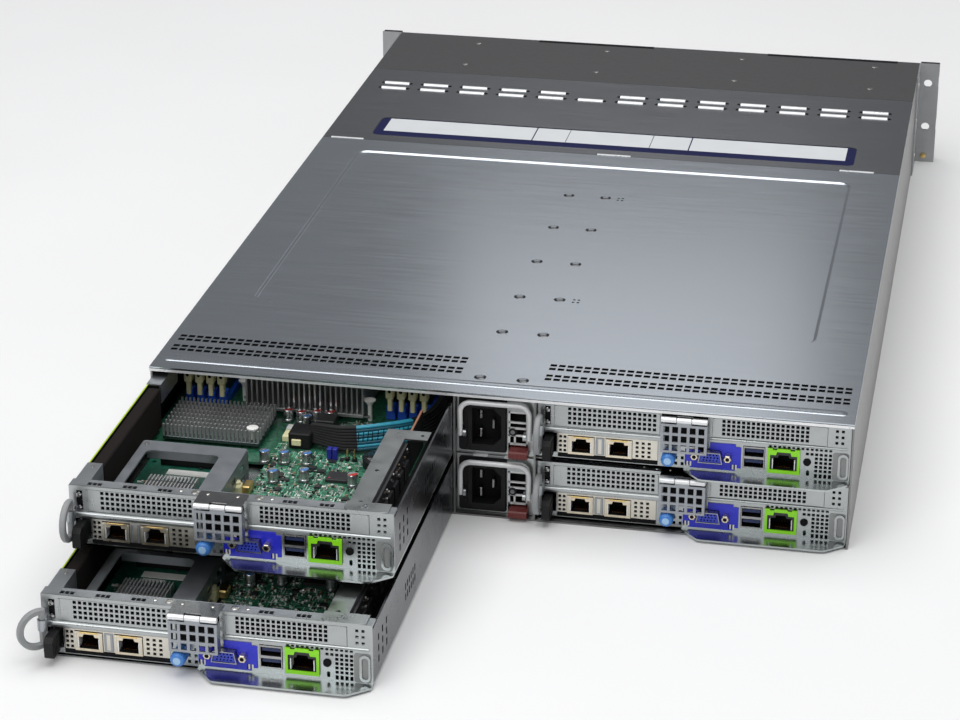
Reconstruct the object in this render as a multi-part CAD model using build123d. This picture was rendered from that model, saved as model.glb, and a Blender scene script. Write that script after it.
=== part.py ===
"""Two-unit rack server: four pull-out sleds around two stacked power supplies.

Frame: +Z up, +Y out of the rear, X across. The origin is on the underside, in the
middle of the chassis. The two sleds on the +X side stand part of the way out.
"""
from build123d import *
import os

# Driving dimensions, in millimetres
WIDTH = 449.0            # across the chassis side walls
HEIGHT = 87.0            # underside to top skin
EAR_REACH = 16.8         # rack ear beyond the side wall
SHEET = 1.2              # sheet metal
CAGE_WIDTH = 52.8        # across the walls between the sleds and the supplies
SLED_LENGTH = 490.0      # rear panel to inner end
PANEL_INSET = 5.0        # rear panels behind the rear edge
PULL_UPPER = 170.0       # how far the upper +X sled stands out
PULL_LOWER = 227.0       # how far the lower +X sled stands out
SUPPLY_LENGTH = 220.0    # power supply, front to rear
DRIVE_LENGTH = 104.0     # drive carrier, front to rear
FAN_BAY = 129.0          # room for the fans behind the drive carriers
FAN_COVER_LENGTH = 177.0  # middle top panel, front to rear

# Clearances
SLIDE_GAP = 0.3          # a sliding piece to what carries it
SIDE_GAP = 0.6           # a sled to the side wall
CAGE_GAP = 0.4           # a sled to the cage wall
PLANE_GAP = 2.0          # a sled to the board in front of it
SEAM_GAP = 0.4           # between the edges of neighbouring panels
SEAT_GAP = 0.25          # a loose plate in its window
STACK_GAP = 2.8          # between a sled and the one above it
COVER_GAP = 1.0          # left above the two stacked bays

# Chassis positions that follow
DEPTH = DRIVE_LENGTH + FAN_BAY + PLANE_GAP + SLED_LENGTH + PANEL_INSET
HALF_W = WIDTH / 2
HALF_D = DEPTH / 2
HALF_CAGE = CAGE_WIDTH / 2
COVER_Z = HEIGHT - SHEET
SUNK = 1.0               # depth of the field pressed into the rear cover
PITCH = (HEIGHT - 2 * SHEET - COVER_GAP) / 2
LOWER_Z = SHEET + SLIDE_GAP
UPPER_Z = LOWER_Z + PITCH
LEDGE_TOP = UPPER_Z - SLIDE_GAP
LEDGE_WIDTH = 6.0
FLANGE_WIDTH = 9.0
SLED_W = HALF_W - SHEET - SIDE_GAP - HALF_CAGE - CAGE_GAP
SLED_H = PITCH - STACK_GAP
BAY_X = HALF_CAGE + CAGE_GAP + SLED_W / 2
PANEL_Y = HALF_D - PANEL_INSET
PLANE_Y = PANEL_Y - SLED_LENGTH - PLANE_GAP
BOARD_T = 1.6

# Sled layout: u across from just inside the +X edge, d outward from the rear panel, w up from
# the underside. It is drawn for a panel of 195.9 by 39 mm and stretches across and up with it.
EDGE_U = 0.4             # panel edge before the zero of u
STRETCH_U = SLED_W / 195.9
STRETCH_W = SLED_H / 39.0
WALL_TOP = 36.0
BOARD_W = 3.4            # underside of the main board
BOARD_TOP = BOARD_W + BOARD_T
CARD_W = 2.6             # underside of the network card
CARD_TOP = CARD_W + BOARD_T

SLEDS = {
    "sled_1": (BAY_X, PULL_UPPER, UPPER_Z),
    "sled_2": (BAY_X, PULL_LOWER, LOWER_Z),
    "sled_3": (-BAY_X, 0.0, UPPER_Z),
    "sled_4": (-BAY_X, 0.0, LOWER_Z),
}
SUPPLIES = {"supply_1": UPPER_Z, "supply_2": LOWER_Z}
BARREL_SIDES = 12


def block(x0, x1, y0, y1, z0, z1):
    """A box from its corner coordinates."""
    size = (abs(x1 - x0), abs(y1 - y0), abs(z1 - z0))
    return Pos((x0 + x1) / 2, (y0 + y1) / 2, (z0 + z1) / 2) * Box(*size)


def rod(axis, radius, start, length):
    """A cylinder along X, Y or Z from its start point towards the positive end."""
    turn = {"x": Rot(0, 90, 0), "y": Rot(-90, 0, 0), "z": Rot(0, 0, 0)}[axis]
    aligned = Cylinder(radius, length, align=(Align.CENTER, Align.CENTER, Align.MIN))
    return Pos(*start) * turn * aligned


def barrel(start, radius, length):
    """A short many-sided pivot barrel along X from its start point."""
    plane = Plane(origin=start, x_dir=(0, 1, 0), z_dir=(1, 0, 0))
    return extrude(plane * RegularPolygon(radius, BARREL_SIDES), length)


def outline(plane, points, depth):
    """A straight-sided outline on a plane, given depth along the plane's normal."""
    return extrude(plane * make_face(Polyline(*points, close=True)), depth)


def ux(u):
    return SLED_W / 2 - (u + EDGE_U) * STRETCH_U


def wz(w):
    return w * STRETCH_W


def sled_block(u0, u1, d0, d1, w0, w1):
    """A box in the sled layout."""
    return block(ux(u0), ux(u1), d0, d1, wz(w0), wz(w1))


def spread(first, last, count):
    """Evenly spaced stations."""
    return [first + (last - first) * i / (count - 1) for i in range(count)]


def holes(u0, u1, columns, w0, w1, rows, share, d0, d1):
    """A grid of rectangular holes that fills a field of the rear panel."""
    du = (u1 - u0) / columns
    dw = (w1 - w0) / rows
    su = du * share / 2
    sw = dw * share / 2
    grid = []
    for i in range(columns):
        for j in range(rows):
            u = u0 + du * (i + 0.5)
            w = w0 + dw * (j + 0.5)
            grid.append(sled_block(u - su, u + su, d0, d1, w - sw, w + sw))
    return grid


def fins(u0, u1, d0, d1, base_w, plate_w, top_w, count, share):
    """A heat sink: a base plate with upright fins along the sled."""
    pitch = (u1 - u0) / (count - 1 + share)
    points = [(ux(u1), wz(plate_w)), (ux(u1), wz(base_w)), (ux(u0), wz(base_w))]
    for i in range(count):
        left = u0 + pitch * i
        right = left + pitch * share
        points += [(ux(left), wz(plate_w))] if i else []
        points += [(ux(left), wz(top_w)), (ux(right), wz(top_w)), (ux(right), wz(plate_w))]
    points = points[1:]
    start = Plane(origin=(0, d1, 0), x_dir=(1, 0, 0), z_dir=(0, -1, 0))
    return outline(start, points, d1 - d0)


# Rear panel windows and the pieces that fill them
LEFT_SLOT = (10.0, 77.0, 22.5, 37.0)
RIGHT_SLOT = (109.5, 181.0, 24.0, 37.0)
CARD_WINDOW = (12.5, 76.0, 1.6, 18.4)
TAB_WINDOW = (2.6, 12.0, 4.6, 18.4)
VGA_WINDOW = (101.0, 117.4, 7.0, 16.0)
USB_WINDOW = (129.2, 142.9, 4.9, 20.1)
LAN_WINDOW = (145.8, 163.2, 4.5, 19.9)
BUTTON_U = 169.0
BUTTON_W = 12.4
BUTTON_R = 2.3
BUTTON_SIDES = 12
SCREW_FLUTES = 14
SCREW_U = 83.5
SCREW_W = 10.4
SCREW_R = 4.5
SCREW_LENGTH = 12.0
HINGE_D = 9.0
HINGE_DROP = 1.4         # hinge axis below the top of the rear panel
HINGE_R = 1.7
FLAP_U = (78.5, 107.5)
TAB_U = (5.0, 9.6)
TAB_PIVOT_D = -20.0
TONGUE = 14.5            # floor tongue beyond the rear panel
INNER_D = -SLED_LENGTH   # inner end of the sled
STANDOFFS = [(43.0, INNER_D + 149), (8.0, INNER_D + 8), (150.0, INNER_D + 8), (138.0, -24.0)]
STANDOFF_R = 3.2

# Processor rows: a sink in the middle and memory on both sides, one row behind the other
ROW_D = -188.0           # outer end of the first row
ROW_PITCH = 148.0
ROW_COUNT = int((SLED_LENGTH + ROW_D) // ROW_PITCH)
SINK_LENGTH = 105.0
SINK_U = (54.0, 132.0)
SINK_W = 7.5             # underside of the processor sinks
SINK_PLATE = 10.0        # top of their base plates
SOCKET_MARGIN = 17.5     # a processor socket inside the ends of its sink


def sled_tray():
    """Sheet metal tray with rear panel, top flange, floor tongue and stand-offs."""
    half = SLED_W / 2
    length = SLED_LENGTH
    body = block(-half, half, -length, 0, 0, SHEET)
    body += block(-half, -half + SHEET, -length, 0, 0, wz(WALL_TOP))
    body += block(half - SHEET, half, -length, 0, 0, wz(WALL_TOP))
    body += block(-half, half, -SHEET, 0, 0, SLED_H)
    body += block(-half, half, -FLANGE_WIDTH, 0, SLED_H - SHEET, SLED_H)
    tongue = [(ux(92.5), 0), (ux(92.5), 2.5), (ux(103), TONGUE), (ux(183), TONGUE),
              (-half, 4), (-half, 0)]
    body += outline(Plane.XY, tongue, SHEET)
    for u, d in STANDOFFS:
        post = extrude(RegularPolygon(STANDOFF_R, 6), wz(BOARD_W) - SHEET)
        body += Pos(ux(u), d, SHEET) * post
    cuts = []
    for u0, u1, w0, w1 in (LEFT_SLOT, RIGHT_SLOT, CARD_WINDOW, TAB_WINDOW, VGA_WINDOW,
                           USB_WINDOW, LAN_WINDOW):
        cuts.append(sled_block(u0, u1, -4, 1, w0, w1))
    start = Plane(origin=(ux(BUTTON_U), -SHEET, wz(BUTTON_W)), x_dir=(1, 0, 0), z_dir=(0, 1, 0))
    cuts.append(extrude(start * RegularPolygon(BUTTON_R + SEAT_GAP, BUTTON_SIDES), SHEET))
    cuts += holes(173.0, 184.0, 2, 3.0, 20.0, 1, 0.66, -4, 1)
    return body - cuts


def jack(u0, u1, w0, w1, d0, d1):
    """A network socket with its plug opening."""
    mid = (u0 + u1) / 2
    body = sled_block(u0, u1, d0, d1, w0, w1)
    return body - sled_block(mid - 5.9, mid + 5.9, d1 - 13, d1 + 1, w0 + 2.2, w0 + 10.4)


def sled_board():
    """Main board with its chips, rear ports, plugged cable and inner-end plug."""
    low, top = BOARD_W, BOARD_TOP
    main = sled_block(3.5, 190, INNER_D + 4, -3, low, top)
    main -= sled_block(0, 86, -118, 0, 0, 10)
    pieces = [main]
    pieces.append(sled_block(35, 57, -168, -146, top, 7))
    margin = SOCKET_MARGIN
    for row in range(ROW_COUNT):
        d1 = ROW_D - ROW_PITCH * row - margin
        d0 = d1 - SINK_LENGTH + 2 * margin
        pieces.append(sled_block(SINK_U[0] + 10, SINK_U[1] - 10, d0, d1, top, SINK_W))
    vga = sled_block(95, 125.5, -15, -2, top, 17.8)
    shell = [(ux(101.5), wz(8)), (ux(103), wz(15.4)), (ux(115.4), wz(15.4)), (ux(116.9), wz(8))]
    plane = Plane(origin=(0, 5, 0), x_dir=(1, 0, 0), z_dir=(0, -1, 0))
    vga += outline(plane, shell, 8)
    recess = [(ux(102.3), wz(8.7)), (ux(103.6), wz(14.7)), (ux(114.8), wz(14.7)),
              (ux(116.1), wz(8.7))]
    vga -= outline(plane, recess, 4.2)
    pieces.append(vga)
    usb = sled_block(129.5, 142.6, -17, 0.6, top, 19.8)
    for w in (6.2, 13.4):
        usb -= sled_block(130.4, 141.7, -11, 1, w, w + 2.8)
    pieces.append(usb)
    pieces.append(jack(146.2, 162.8, top, 19.5, -21, 0.6))
    pieces.append(sled_block(165.6, 172.4, -16, -9, top, 16.5))
    pieces.append(sled_block(55, 140, INNER_D + 0.5, INNER_D + 8.5, top, 20))
    pieces.append(sled_block(178.3, 183.5, -104, -18, top, 12))
    pieces.append(sled_block(178.6, 180.2, -107, -14, 12, 33))
    route = FilletPolyline((ux(104), -149), (ux(132), -141), (ux(171), -163),
                           (ux(183.4), -192), (ux(183.4), INNER_D + 18), radius=18)
    ribbon = Pos(0, 0, wz(8)) * extrude(trace(route, line_width=10.0), wz(7))
    ribbon += sled_block(94.5, 109, -157, -141, top, 15.8)
    ribbon += sled_block(177.4, 189.4, INNER_D + 6, INNER_D + 20, top, 16.5)
    pieces.append(ribbon)
    return pieces


FIN_COUNT = 6
FIN_SHARE = 0.42         # fin thickness as a share of the fin pitch


def sled_heatsinks():
    """Processor sinks in line and a low sink in front of them."""
    pieces = [fins(14, 77, -178, -135, 7, 9.5, 17.5, FIN_COUNT, FIN_SHARE)]
    for row in range(ROW_COUNT):
        d1 = ROW_D - ROW_PITCH * row
        pieces.append(fins(*SINK_U, d1 - SINK_LENGTH, d1, SINK_W, SINK_PLATE, 34, FIN_COUNT, FIN_SHARE))
    return pieces


DIMM_BANKS = [13.8, 148.4]
DIMM_PITCH = 7.5
DIMM_LENGTH = 138.0
DIMM_INSET = 7.0         # memory behind the outer end of its row


def sled_memory():
    """Four banks of sockets on the board and the modules standing in them."""
    pieces = []
    for first in DIMM_BANKS:
        stations = [first + DIMM_PITCH * i for i in range(4)]
        for row in range(ROW_COUNT):
            d1 = ROW_D - DIMM_INSET - ROW_PITCH * row
            d0 = d1 - DIMM_LENGTH
            pieces.append(sled_block(first - 3, stations[-1] + 3, d0, d1, BOARD_TOP, 9))
            for u in stations:
                pieces.append(sled_block(u - 0.8, u + 0.8, d0 + 5, d1 - 5, 9, 36))
    return pieces


def sled_network_card():
    """Card with its slot plate, two sockets and a small heat sink."""
    card = sled_block(12.8, 75, -112, -1.5, CARD_W, CARD_TOP)
    gap = SEAT_GAP
    u0, u1, w0, w1 = CARD_WINDOW
    plate = sled_block(u0 + gap, u1 - gap, -1.2, -0.2, w0 + gap, w1 - gap)
    plate += sled_block(u0 + gap, u1 - gap, -6, -0.2, w1 - gap - 1, w1 - gap)
    ports = [(19.0, 35.6), (43.0, 59.6)]
    cuts = [sled_block(a - gap, b + gap, -3, 1, CARD_W - 1, 17.0) for a, b in ports]
    cuts += holes(13.2, 18.4, 1, 5.0, 16.5, 1, 0.6, -3, 1)
    cuts += holes(62.0, 73.0, 2, 5.0, 16.5, 1, 0.6, -3, 1)
    cuts.append(card)
    pieces = [card, plate - cuts]
    pieces += [jack(a, b, CARD_TOP, 16.6, -22, 0.4) for a, b in ports]
    pieces.append(fins(25, 55, -76, -50, CARD_TOP, 6.5, 12, 4, FIN_SHARE))
    return pieces


def slot_cover(window, u_margin):
    """A perforated blank that closes one expansion slot."""
    u0, u1, w0, w1 = window
    gap = SEAT_GAP
    plate = sled_block(u0 + gap, u1 - gap, -1.1, -0.1, w0 + gap, w1 - gap)
    field = holes(u0 + u_margin, u1 - u_margin, 5, w0 + 2, w1 - 0.6, 1, 0.68, -3, 1)
    return plate - field


# Pull ring at the +X end of the rear panel, on an upright pin in a knuckle
RING_U = 2.0
RING_D = 6.5
RING_W = 20.3            # middle of the ring
RING_REACH = 3.0         # middle of the ring beyond the pin
RING_OUTER = 13.0
RING_INNER = 9.2
RING_BAR = 3.4
RING_T = 3.6
RING_SIDES = 20
PIN_R = 1.6
KNUCKLE_R = 2.8
KNUCKLE_W = (19.0, 26.0)
DUCT_U = 9.0             # cable duct and lips along the +X wall
RING_TURNS = {"sled_2": 45.0}


def ring_knuckle():
    """Fixed knuckle on the rear panel that holds the pin of the pull ring."""
    knuckle = RegularPolygon(KNUCKLE_R, BARREL_SIDES)
    knuckle += Pos(0, -RING_D / 2) * Rectangle(2 * PIN_R, RING_D)
    knuckle -= RegularPolygon(PIN_R + SEAT_GAP, BARREL_SIDES)
    low, high = wz(KNUCKLE_W[0]), wz(KNUCKLE_W[1])
    return Pos(ux(RING_U), RING_D, low) * extrude(knuckle, high - low)


def sled_brackets():
    """Slot covers, card frame, riser rail, cable duct, side lips, ring knuckle, hinge leaf."""
    pieces = [slot_cover(LEFT_SLOT, 6.5), slot_cover(RIGHT_SLOT, 7.5)]
    frame = sled_block(14.5, 81, -97, -84, 23, 24.2)
    frame += sled_block(67, 81, -97, -12, 23, 24.2)
    frame += sled_block(14.5, 20.5, -97, -12, 23, 24.2)
    frame += block(ux(80), ux(81), -97, -12, SHEET, wz(24.2))
    pieces.append(frame)
    rail = sled_block(165, 178, -106, -FLANGE_WIDTH - 1, 35, 36)
    rail += sled_block(177, 178, -106, -FLANGE_WIDTH - 1, BOARD_TOP, 36)
    rail += sled_block(165, 194, -118, -106, 35, 36)
    pieces.append(rail)
    pieces.append(block(SLED_W / 2 - SHEET, ux(DUCT_U), -150, -36, wz(8), wz(WALL_TOP - 1)))
    for d0, d1 in ((-186, -151), (-35, -FLANGE_WIDTH - 1)):
        lip = sled_block(-EDGE_U, DUCT_U, d0, d1, WALL_TOP, WALL_TOP + 1)
        lip += sled_block(DUCT_U - 1, DUCT_U, d0, d1, 24, WALL_TOP + 1)
        pieces.append(lip)
    pieces.append(ring_knuckle())
    u0, u1 = FLAP_U
    third = (u1 - u0) / 3
    leaf = block(ux(u0), ux(u1), -7, HINGE_D, SLED_H, SLED_H + 0.7)
    gap = SEAT_GAP
    leaf -= sled_block(u0 + third - gap, u1 - third + gap, HINGE_D - 2.4, HINGE_D + 1, 38, 41)
    for a in (u0, u1 - third):
        start = (ux(a + third), HINGE_D, SLED_H - HINGE_DROP)
        leaf += barrel(start, HINGE_R, ux(a) - ux(a + third))
    pieces.append(leaf)
    return pieces


def sled_flap():
    """Perforated air flap that hangs from its hinge."""
    u0, u1 = FLAP_U
    third = (u1 - u0) / 3
    gap = SEAT_GAP
    near, far = HINGE_D - 0.1, HINGE_D + 0.9
    plate = sled_block(u0, u1, near, far, 15.5, 35.2)
    plate += sled_block(u0 + third + gap, u1 - third - gap, near, far, 35, 37)
    plate += sled_block(u0, u0 + 0.9, near - 5, far, 15.5, 34.5)
    plate += sled_block(u1 - 0.9, u1, near - 5, far, 15.5, 34.5)
    start = ux(u1 - third - gap)
    width = ux(u0 + third + gap) - start
    plate += barrel((start, HINGE_D, SLED_H - HINGE_DROP), HINGE_R, width)
    return plate - holes(u0 + 1, u1 - 1, 5, 16.4, 34.4, 3, 0.72, near - 1, far + 1)


def sled_ring(turn):
    """Pull ring with its pin, swung outward by an angle."""
    axis = Plane(origin=(-RING_T / 2, 0, wz(RING_W)), x_dir=(0, 1, 0), z_dir=(1, 0, 0))
    disc = Pos(RING_REACH, 0) * RegularPolygon(RING_OUTER, RING_SIDES)
    shape = disc - Pos(RING_REACH, 0) * RegularPolygon(RING_INNER, RING_SIDES)
    shape += disc & Rectangle(RING_BAR, 2 * RING_OUTER)
    shape -= Pos(-RING_OUTER - RING_BAR / 2, 0) * Rectangle(2 * RING_OUTER, 2 * RING_OUTER)
    low, high = wz(KNUCKLE_W[0]) - SEAT_GAP, wz(KNUCKLE_W[1]) + SEAT_GAP
    room = KNUCKLE_R + SEAT_GAP
    notch = Rectangle(2 * room, high - low)
    shape -= Pos(0, (low + high) / 2 - wz(RING_W)) * notch
    ring = extrude(axis * shape, RING_T)
    pin = extrude(RegularPolygon(PIN_R, BARREL_SIDES), high - low + 2 * PIN_R)
    ring += Pos(0, 0, low - PIN_R) * pin
    return Pos(ux(RING_U), RING_D, 0) * Rot(0, 0, -turn) * ring


def sled_tab():
    """Release lever with a round heel inside and the thumb tab outside the panel."""
    u0, u1 = TAB_U
    heel = (ux(u0) - ux(u1)) / 2
    centre = Pos((ux(u0) + ux(u1)) / 2, TAB_PIVOT_D)
    arm = centre * RegularPolygon(heel, BARREL_SIDES)
    arm += centre * Pos(0, (2 - TAB_PIVOT_D) / 2) * Rectangle(2 * heel, 2 - TAB_PIVOT_D)
    lever = Pos(0, 0, wz(TAB_WINDOW[2]) + SLIDE_GAP) * extrude(arm, wz(10))
    return lever + sled_block(4.8, 10.4, 1, 14, 3.6, 17)


def sled_screw():
    """Fluted thumbscrew that holds the network card plate."""
    start = Plane(origin=(ux(SCREW_U), SEAT_GAP, wz(SCREW_W)), x_dir=(1, 0, 0), z_dir=(0, 1, 0))
    return extrude(start * RegularPolygon(SCREW_R, SCREW_FLUTES), SCREW_LENGTH)


def sled_button():
    """Push button in the rear panel."""
    start = Plane(origin=(ux(BUTTON_U), -7.5, wz(BUTTON_W)), x_dir=(1, 0, 0), z_dir=(0, 1, 0))
    return extrude(start * RegularPolygon(BUTTON_R, BUTTON_SIDES), 9.0)


SUPPLY_W = CAGE_WIDTH - 2 * SHEET - 2 * SLIDE_GAP
SUPPLY_H = PITCH - SHEET - 2 * SLIDE_GAP
BAIL_Y = 4.6
BAIL_R = 1.7
BAIL_PIVOT = 0.36 * SUPPLY_H
BAIL_HALF = 0.445 * SUPPLY_W
LATCH_TRAVEL = 2.5


INLET = (6.8, 31.6)      # mains inlet across the rear face, from the +X edge
LUG_T = 2.0
LUG_HALF = 2.4           # half the height of a lug
LUG_X = BAIL_HALF - BAIL_R - SEAT_GAP


def supply_case():
    """Closed supply with the mains inlet, air openings, bail lugs and latch slot."""
    half = SUPPLY_W / 2
    case = block(-half, half, -SUPPLY_LENGTH, 0, 0, SUPPLY_H)
    left, right = half - INLET[0], half - INLET[1]
    low, high = 0.05 * SUPPLY_H, 0.875 * SUPPLY_H
    case -= block(left, right, -24, 1, low, high)
    for x0, x1, z0, z1 in ((33.4, 44.6, 0.65, 0.85), (33.4, 44.6, 0.53, 0.6),
                           (33.4, 37.4, 0.19, 0.29), (38.8, 46.0, 0.19, 0.29)):
        case -= block(half - x0, half - x1, -9, 1, z0 * SUPPLY_H, z1 * SUPPLY_H)
    case -= block(half - 32.5, half - 46.5, -9, 1, 1.6, 4.8)
    lugs = []
    for side in (-1, 1):
        lugs.append(block(side * LUG_X, side * (LUG_X - LUG_T), 0, BAIL_Y + BAIL_R,
                          BAIL_PIVOT - LUG_HALF, BAIL_PIVOT + LUG_HALF))
    gap = SEAT_GAP
    inlet = block(left - gap, right + gap, -23.5, 1.2, low + gap, high - gap)
    mid = (low + high) / 2
    x0, x1, corner = left - 3.0, right + 3.0, 5.0
    tall = (high - low) / 2 - 4.0
    mouth = [(x0, mid - tall), (x0, mid + tall), (x1 + corner, mid + tall),
             (x1, mid + tall - corner), (x1, mid - tall + corner), (x1 + corner, mid - tall)]
    plane = Plane(origin=(0, 2, 0), x_dir=(1, 0, 0), z_dir=(0, -1, 0))
    inlet -= outline(plane, mouth, 19)
    for x, z in ((x0 - 5.0, mid + 6.5), (x0 - 5.0, mid - 6.5), (x0 - 13.0, mid)):
        inlet += block(x - 1, x + 1, -18, -3, z - 3, z + 3)
    return [case, inlet] + lugs


def supply_bail():
    """Bent pull handle with round ends, folded up against the supply."""
    top = SUPPLY_H - 2.2 - BAIL_R
    plane = Plane(origin=(0, BAIL_Y - BAIL_R, 0), x_dir=(-1, 0, 0), z_dir=(0, 1, 0))
    path = FilletPolyline((-BAIL_HALF, BAIL_PIVOT), (-BAIL_HALF, top), (BAIL_HALF, top),
                          (BAIL_HALF, BAIL_PIVOT), radius=7.0)
    bail = extrude(plane * trace(path, line_width=2 * BAIL_R), 2 * BAIL_R)
    for side in (-1, 1):
        start = (side * BAIL_HALF - BAIL_R, BAIL_Y, BAIL_PIVOT)
        bail += barrel(start, BAIL_R, 2 * BAIL_R)
    return bail


def supply_latch():
    """Thumb latch below the air openings."""
    half = SUPPLY_W / 2
    stem = block(half - 35.5, half - 46.0, -8, 1, 2.0, 4.4)
    return stem + block(half - 34.5, half - 46.4, 0.4, 9, 0.6, 5.8)


def chassis_tub():
    """Floor and side walls with top flanges and the ledges under the upper sleds."""
    body = block(-HALF_W, HALF_W, -HALF_D, HALF_D, 0, SHEET)
    for side in (-1, 1):
        wall = side * HALF_W
        inner = side * (HALF_W - SHEET)
        body += block(wall, inner, -HALF_D, HALF_D, 0, COVER_Z)
        reach = side * (HALF_W - SHEET - FLANGE_WIDTH)
        body += block(wall, reach, -HALF_D, HALF_D, COVER_Z - SHEET, COVER_Z)
        ledge = side * (HALF_W - SHEET - SIDE_GAP - LEDGE_WIDTH)
        body += block(wall, ledge, PLANE_Y + 4, HALF_D - 3, LEDGE_TOP - SHEET, LEDGE_TOP)
    return body


def psu_cage():
    """Walls between the sleds and the supplies, with shelf, ledges and top flanges."""
    front, rear = PLANE_Y + 4, HALF_D
    top = COVER_Z - SUNK
    low = LEDGE_TOP - SHEET
    body = block(-HALF_CAGE, HALF_CAGE, front, rear - 6, low, LEDGE_TOP)
    for side in (-1, 1):
        wall = side * HALF_CAGE
        inner = side * (HALF_CAGE - SHEET)
        body += block(wall, inner, front, rear, SHEET, top)
        body += block(wall, side * (HALF_CAGE - 17), front, rear, top - SHEET, top)
        reach = side * (HALF_CAGE + CAGE_GAP + LEDGE_WIDTH)
        body += block(wall, reach, front, rear - 6, low, LEDGE_TOP)
    return body


SEAM_1 = -HALF_D + DRIVE_LENGTH
SEAM_2 = SEAM_1 + FAN_COVER_LENGTH
LIP = 1.8


def rear_cover():
    """Rear top panel with a sunk field, two fields of vent slots, a bead and a lip."""
    rear = HALF_D + 2.0
    start = SEAM_2 + SEAM_GAP / 2
    panel = block(-HALF_W, HALF_W, start, rear, COVER_Z, HEIGHT)
    panel += block(-HALF_W, HALF_W, rear - SHEET, rear, COVER_Z - LIP, COVER_Z)
    half = 0.4232 * WIDTH
    y0, y1 = start + 24, rear - 119
    plate = Pos(0, (y0 + y1) / 2, COVER_Z - SUNK)
    panel += plate * extrude(Rectangle(2 * half + 2, y1 - y0 + 2), SUNK)
    pocket = extrude(RectangleRounded(2 * half, y1 - y0, 8), SUNK + 1)
    panel -= Pos(0, (y0 + y1) / 2, HEIGHT - SUNK) * pocket
    cuts = []
    inner, outer = HALF_CAGE, HALF_W - SHEET - FLANGE_WIDTH
    for side in (-1, 1):
        for x in spread(inner + 15, outer - 13, 6):
            for y in (rear - 49, rear - 33):
                cuts.append(block(side * x - 11, side * x + 11, y - 3.5, y + 3.5,
                                  COVER_Z - 1, HEIGHT + 1))
    panel -= cuts
    bead = block(-HALF_W + 5, HALF_W - 5, rear - 19, rear - 11, HEIGHT, HEIGHT + 0.8)
    return panel + bead


def fan_cover():
    """Middle top panel with its raised air bridges and a shallow plate recess."""
    y0, y1 = SEAM_1 + SEAM_GAP / 2, SEAM_2 - SEAM_GAP / 2
    panel = block(-HALF_W, HALF_W, y0, y1, COVER_Z, HEIGHT)
    reach = 0.4383 * WIDTH
    for i, x in enumerate(spread(reach, -reach, 13)):
        for j, y in enumerate((y0 + 35, y0 + 48)):
            if (i, j) != (5, 0):
                panel += block(x - 10, x + 10, y - 2, y + 2, HEIGHT, HEIGHT + 1.2)
    half = 0.421 * WIDTH
    panel -= block(-half, half, y1 - 55, y1 - 13, HEIGHT - 0.4, HEIGHT + 1)
    return panel


def drive_bay_top():
    """Front top panel over the drive carriers."""
    return block(-HALF_W, HALF_W, -HALF_D, SEAM_1 - SEAM_GAP / 2, COVER_Z, HEIGHT)


EAR_T = 2.0
EAR_ARM = 40.0           # ear bracket along the side wall
EAR_X = HALF_W + EAR_REACH
EAR_HOLE_R = 3.4
EAR_HOLE_X = EAR_X - 8.75
EAR_HOLE_SPACING = 38.4
EAR_HOLE_MID = HEIGHT / 2 + 7.2
EAR_HOLE_Z = (EAR_HOLE_MID - EAR_HOLE_SPACING / 2, EAR_HOLE_MID + EAR_HOLE_SPACING / 2)
PANEL_T = 8.0
SCREW_ROOM = 5.4         # half the room for a screw head in the facing


def rack_ears():
    """Angle brackets that carry the chassis in a rack."""
    pieces = []
    for side in (-1, 1):
        outer = side * (HALF_W + SHEET)
        flange = block(side * HALF_W, side * EAR_X, -HALF_D, -HALF_D + EAR_T, 0, HEIGHT)
        flange += block(side * HALF_W, outer, -HALF_D, -HALF_D + EAR_ARM, 0, HEIGHT)
        for z in EAR_HOLE_Z:
            flange -= rod("y", EAR_HOLE_R, (side * EAR_HOLE_X, -HALF_D - 1, z), EAR_T + 2)
        pieces.append(flange)
    return pieces


def control_panels():
    """Plastic facings on the front of the rack ears."""
    pieces = []
    for side in (-1, 1):
        facing = block(side * (HALF_W + 1), side * EAR_X, -HALF_D - PANEL_T, -HALF_D,
                       1, HEIGHT - 1)
        for z in EAR_HOLE_Z:
            facing -= block(side * (EAR_HOLE_X - SCREW_ROOM), side * (EAR_X + 1),
                            -HALF_D - PANEL_T - 1, -HALF_D + 1, z - SCREW_ROOM, z + SCREW_ROOM)
        pieces.append(facing)
    return pieces


DRIVE_ROWS = 24
DRIVE_FIELD = WIDTH - 2 * SHEET - 12.0
DRIVE_PITCH = DRIVE_FIELD / DRIVE_ROWS
DRIVE_TOP = COVER_Z - SHEET - 1.0


def drive_carriers():
    """Upright drive carriers, each with its front lever and thumb recess."""
    pieces = []
    low = LOWER_Z
    front = -HALF_D - 2.0
    for i in range(DRIVE_ROWS):
        x = -DRIVE_FIELD / 2 + DRIVE_PITCH * (i + 0.5)
        wide = DRIVE_PITCH / 2 - 0.4
        carrier = block(x - wide, x + wide, front, SEAM_1 - 6, low, DRIVE_TOP)
        carrier -= block(x - wide + 2, x + wide - 2, front - 1, front + 6, low + 16, low + 36)
        pieces.append(carrier)
    return pieces


def backplanes():
    """Board behind the drives and board in front of the sleds, with its sled sockets."""
    reach = HALF_W - SHEET - FLANGE_WIDTH - 1.0
    drive = block(-reach, reach, SEAM_1 - 5.6, SEAM_1 - 5.6 + BOARD_T, SHEET, COVER_Z - SHEET)
    plane = block(-reach, reach, PLANE_Y - BOARD_T, PLANE_Y, SHEET, COVER_Z - SHEET)
    return [drive, plane]


FAN_ROOM = 4.6           # left above the fans
FAN_SIZE = COVER_Z - SHEET - FAN_ROOM
FAN_COUNT = 4
FAN_PITCH = (WIDTH - 2 * (SHEET + FLANGE_WIDTH)) / FAN_COUNT
FAN_DEPTH = 38.0
STRUT_WIDTH = 6.0
STRUT_DEPTH = 4.0


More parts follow.
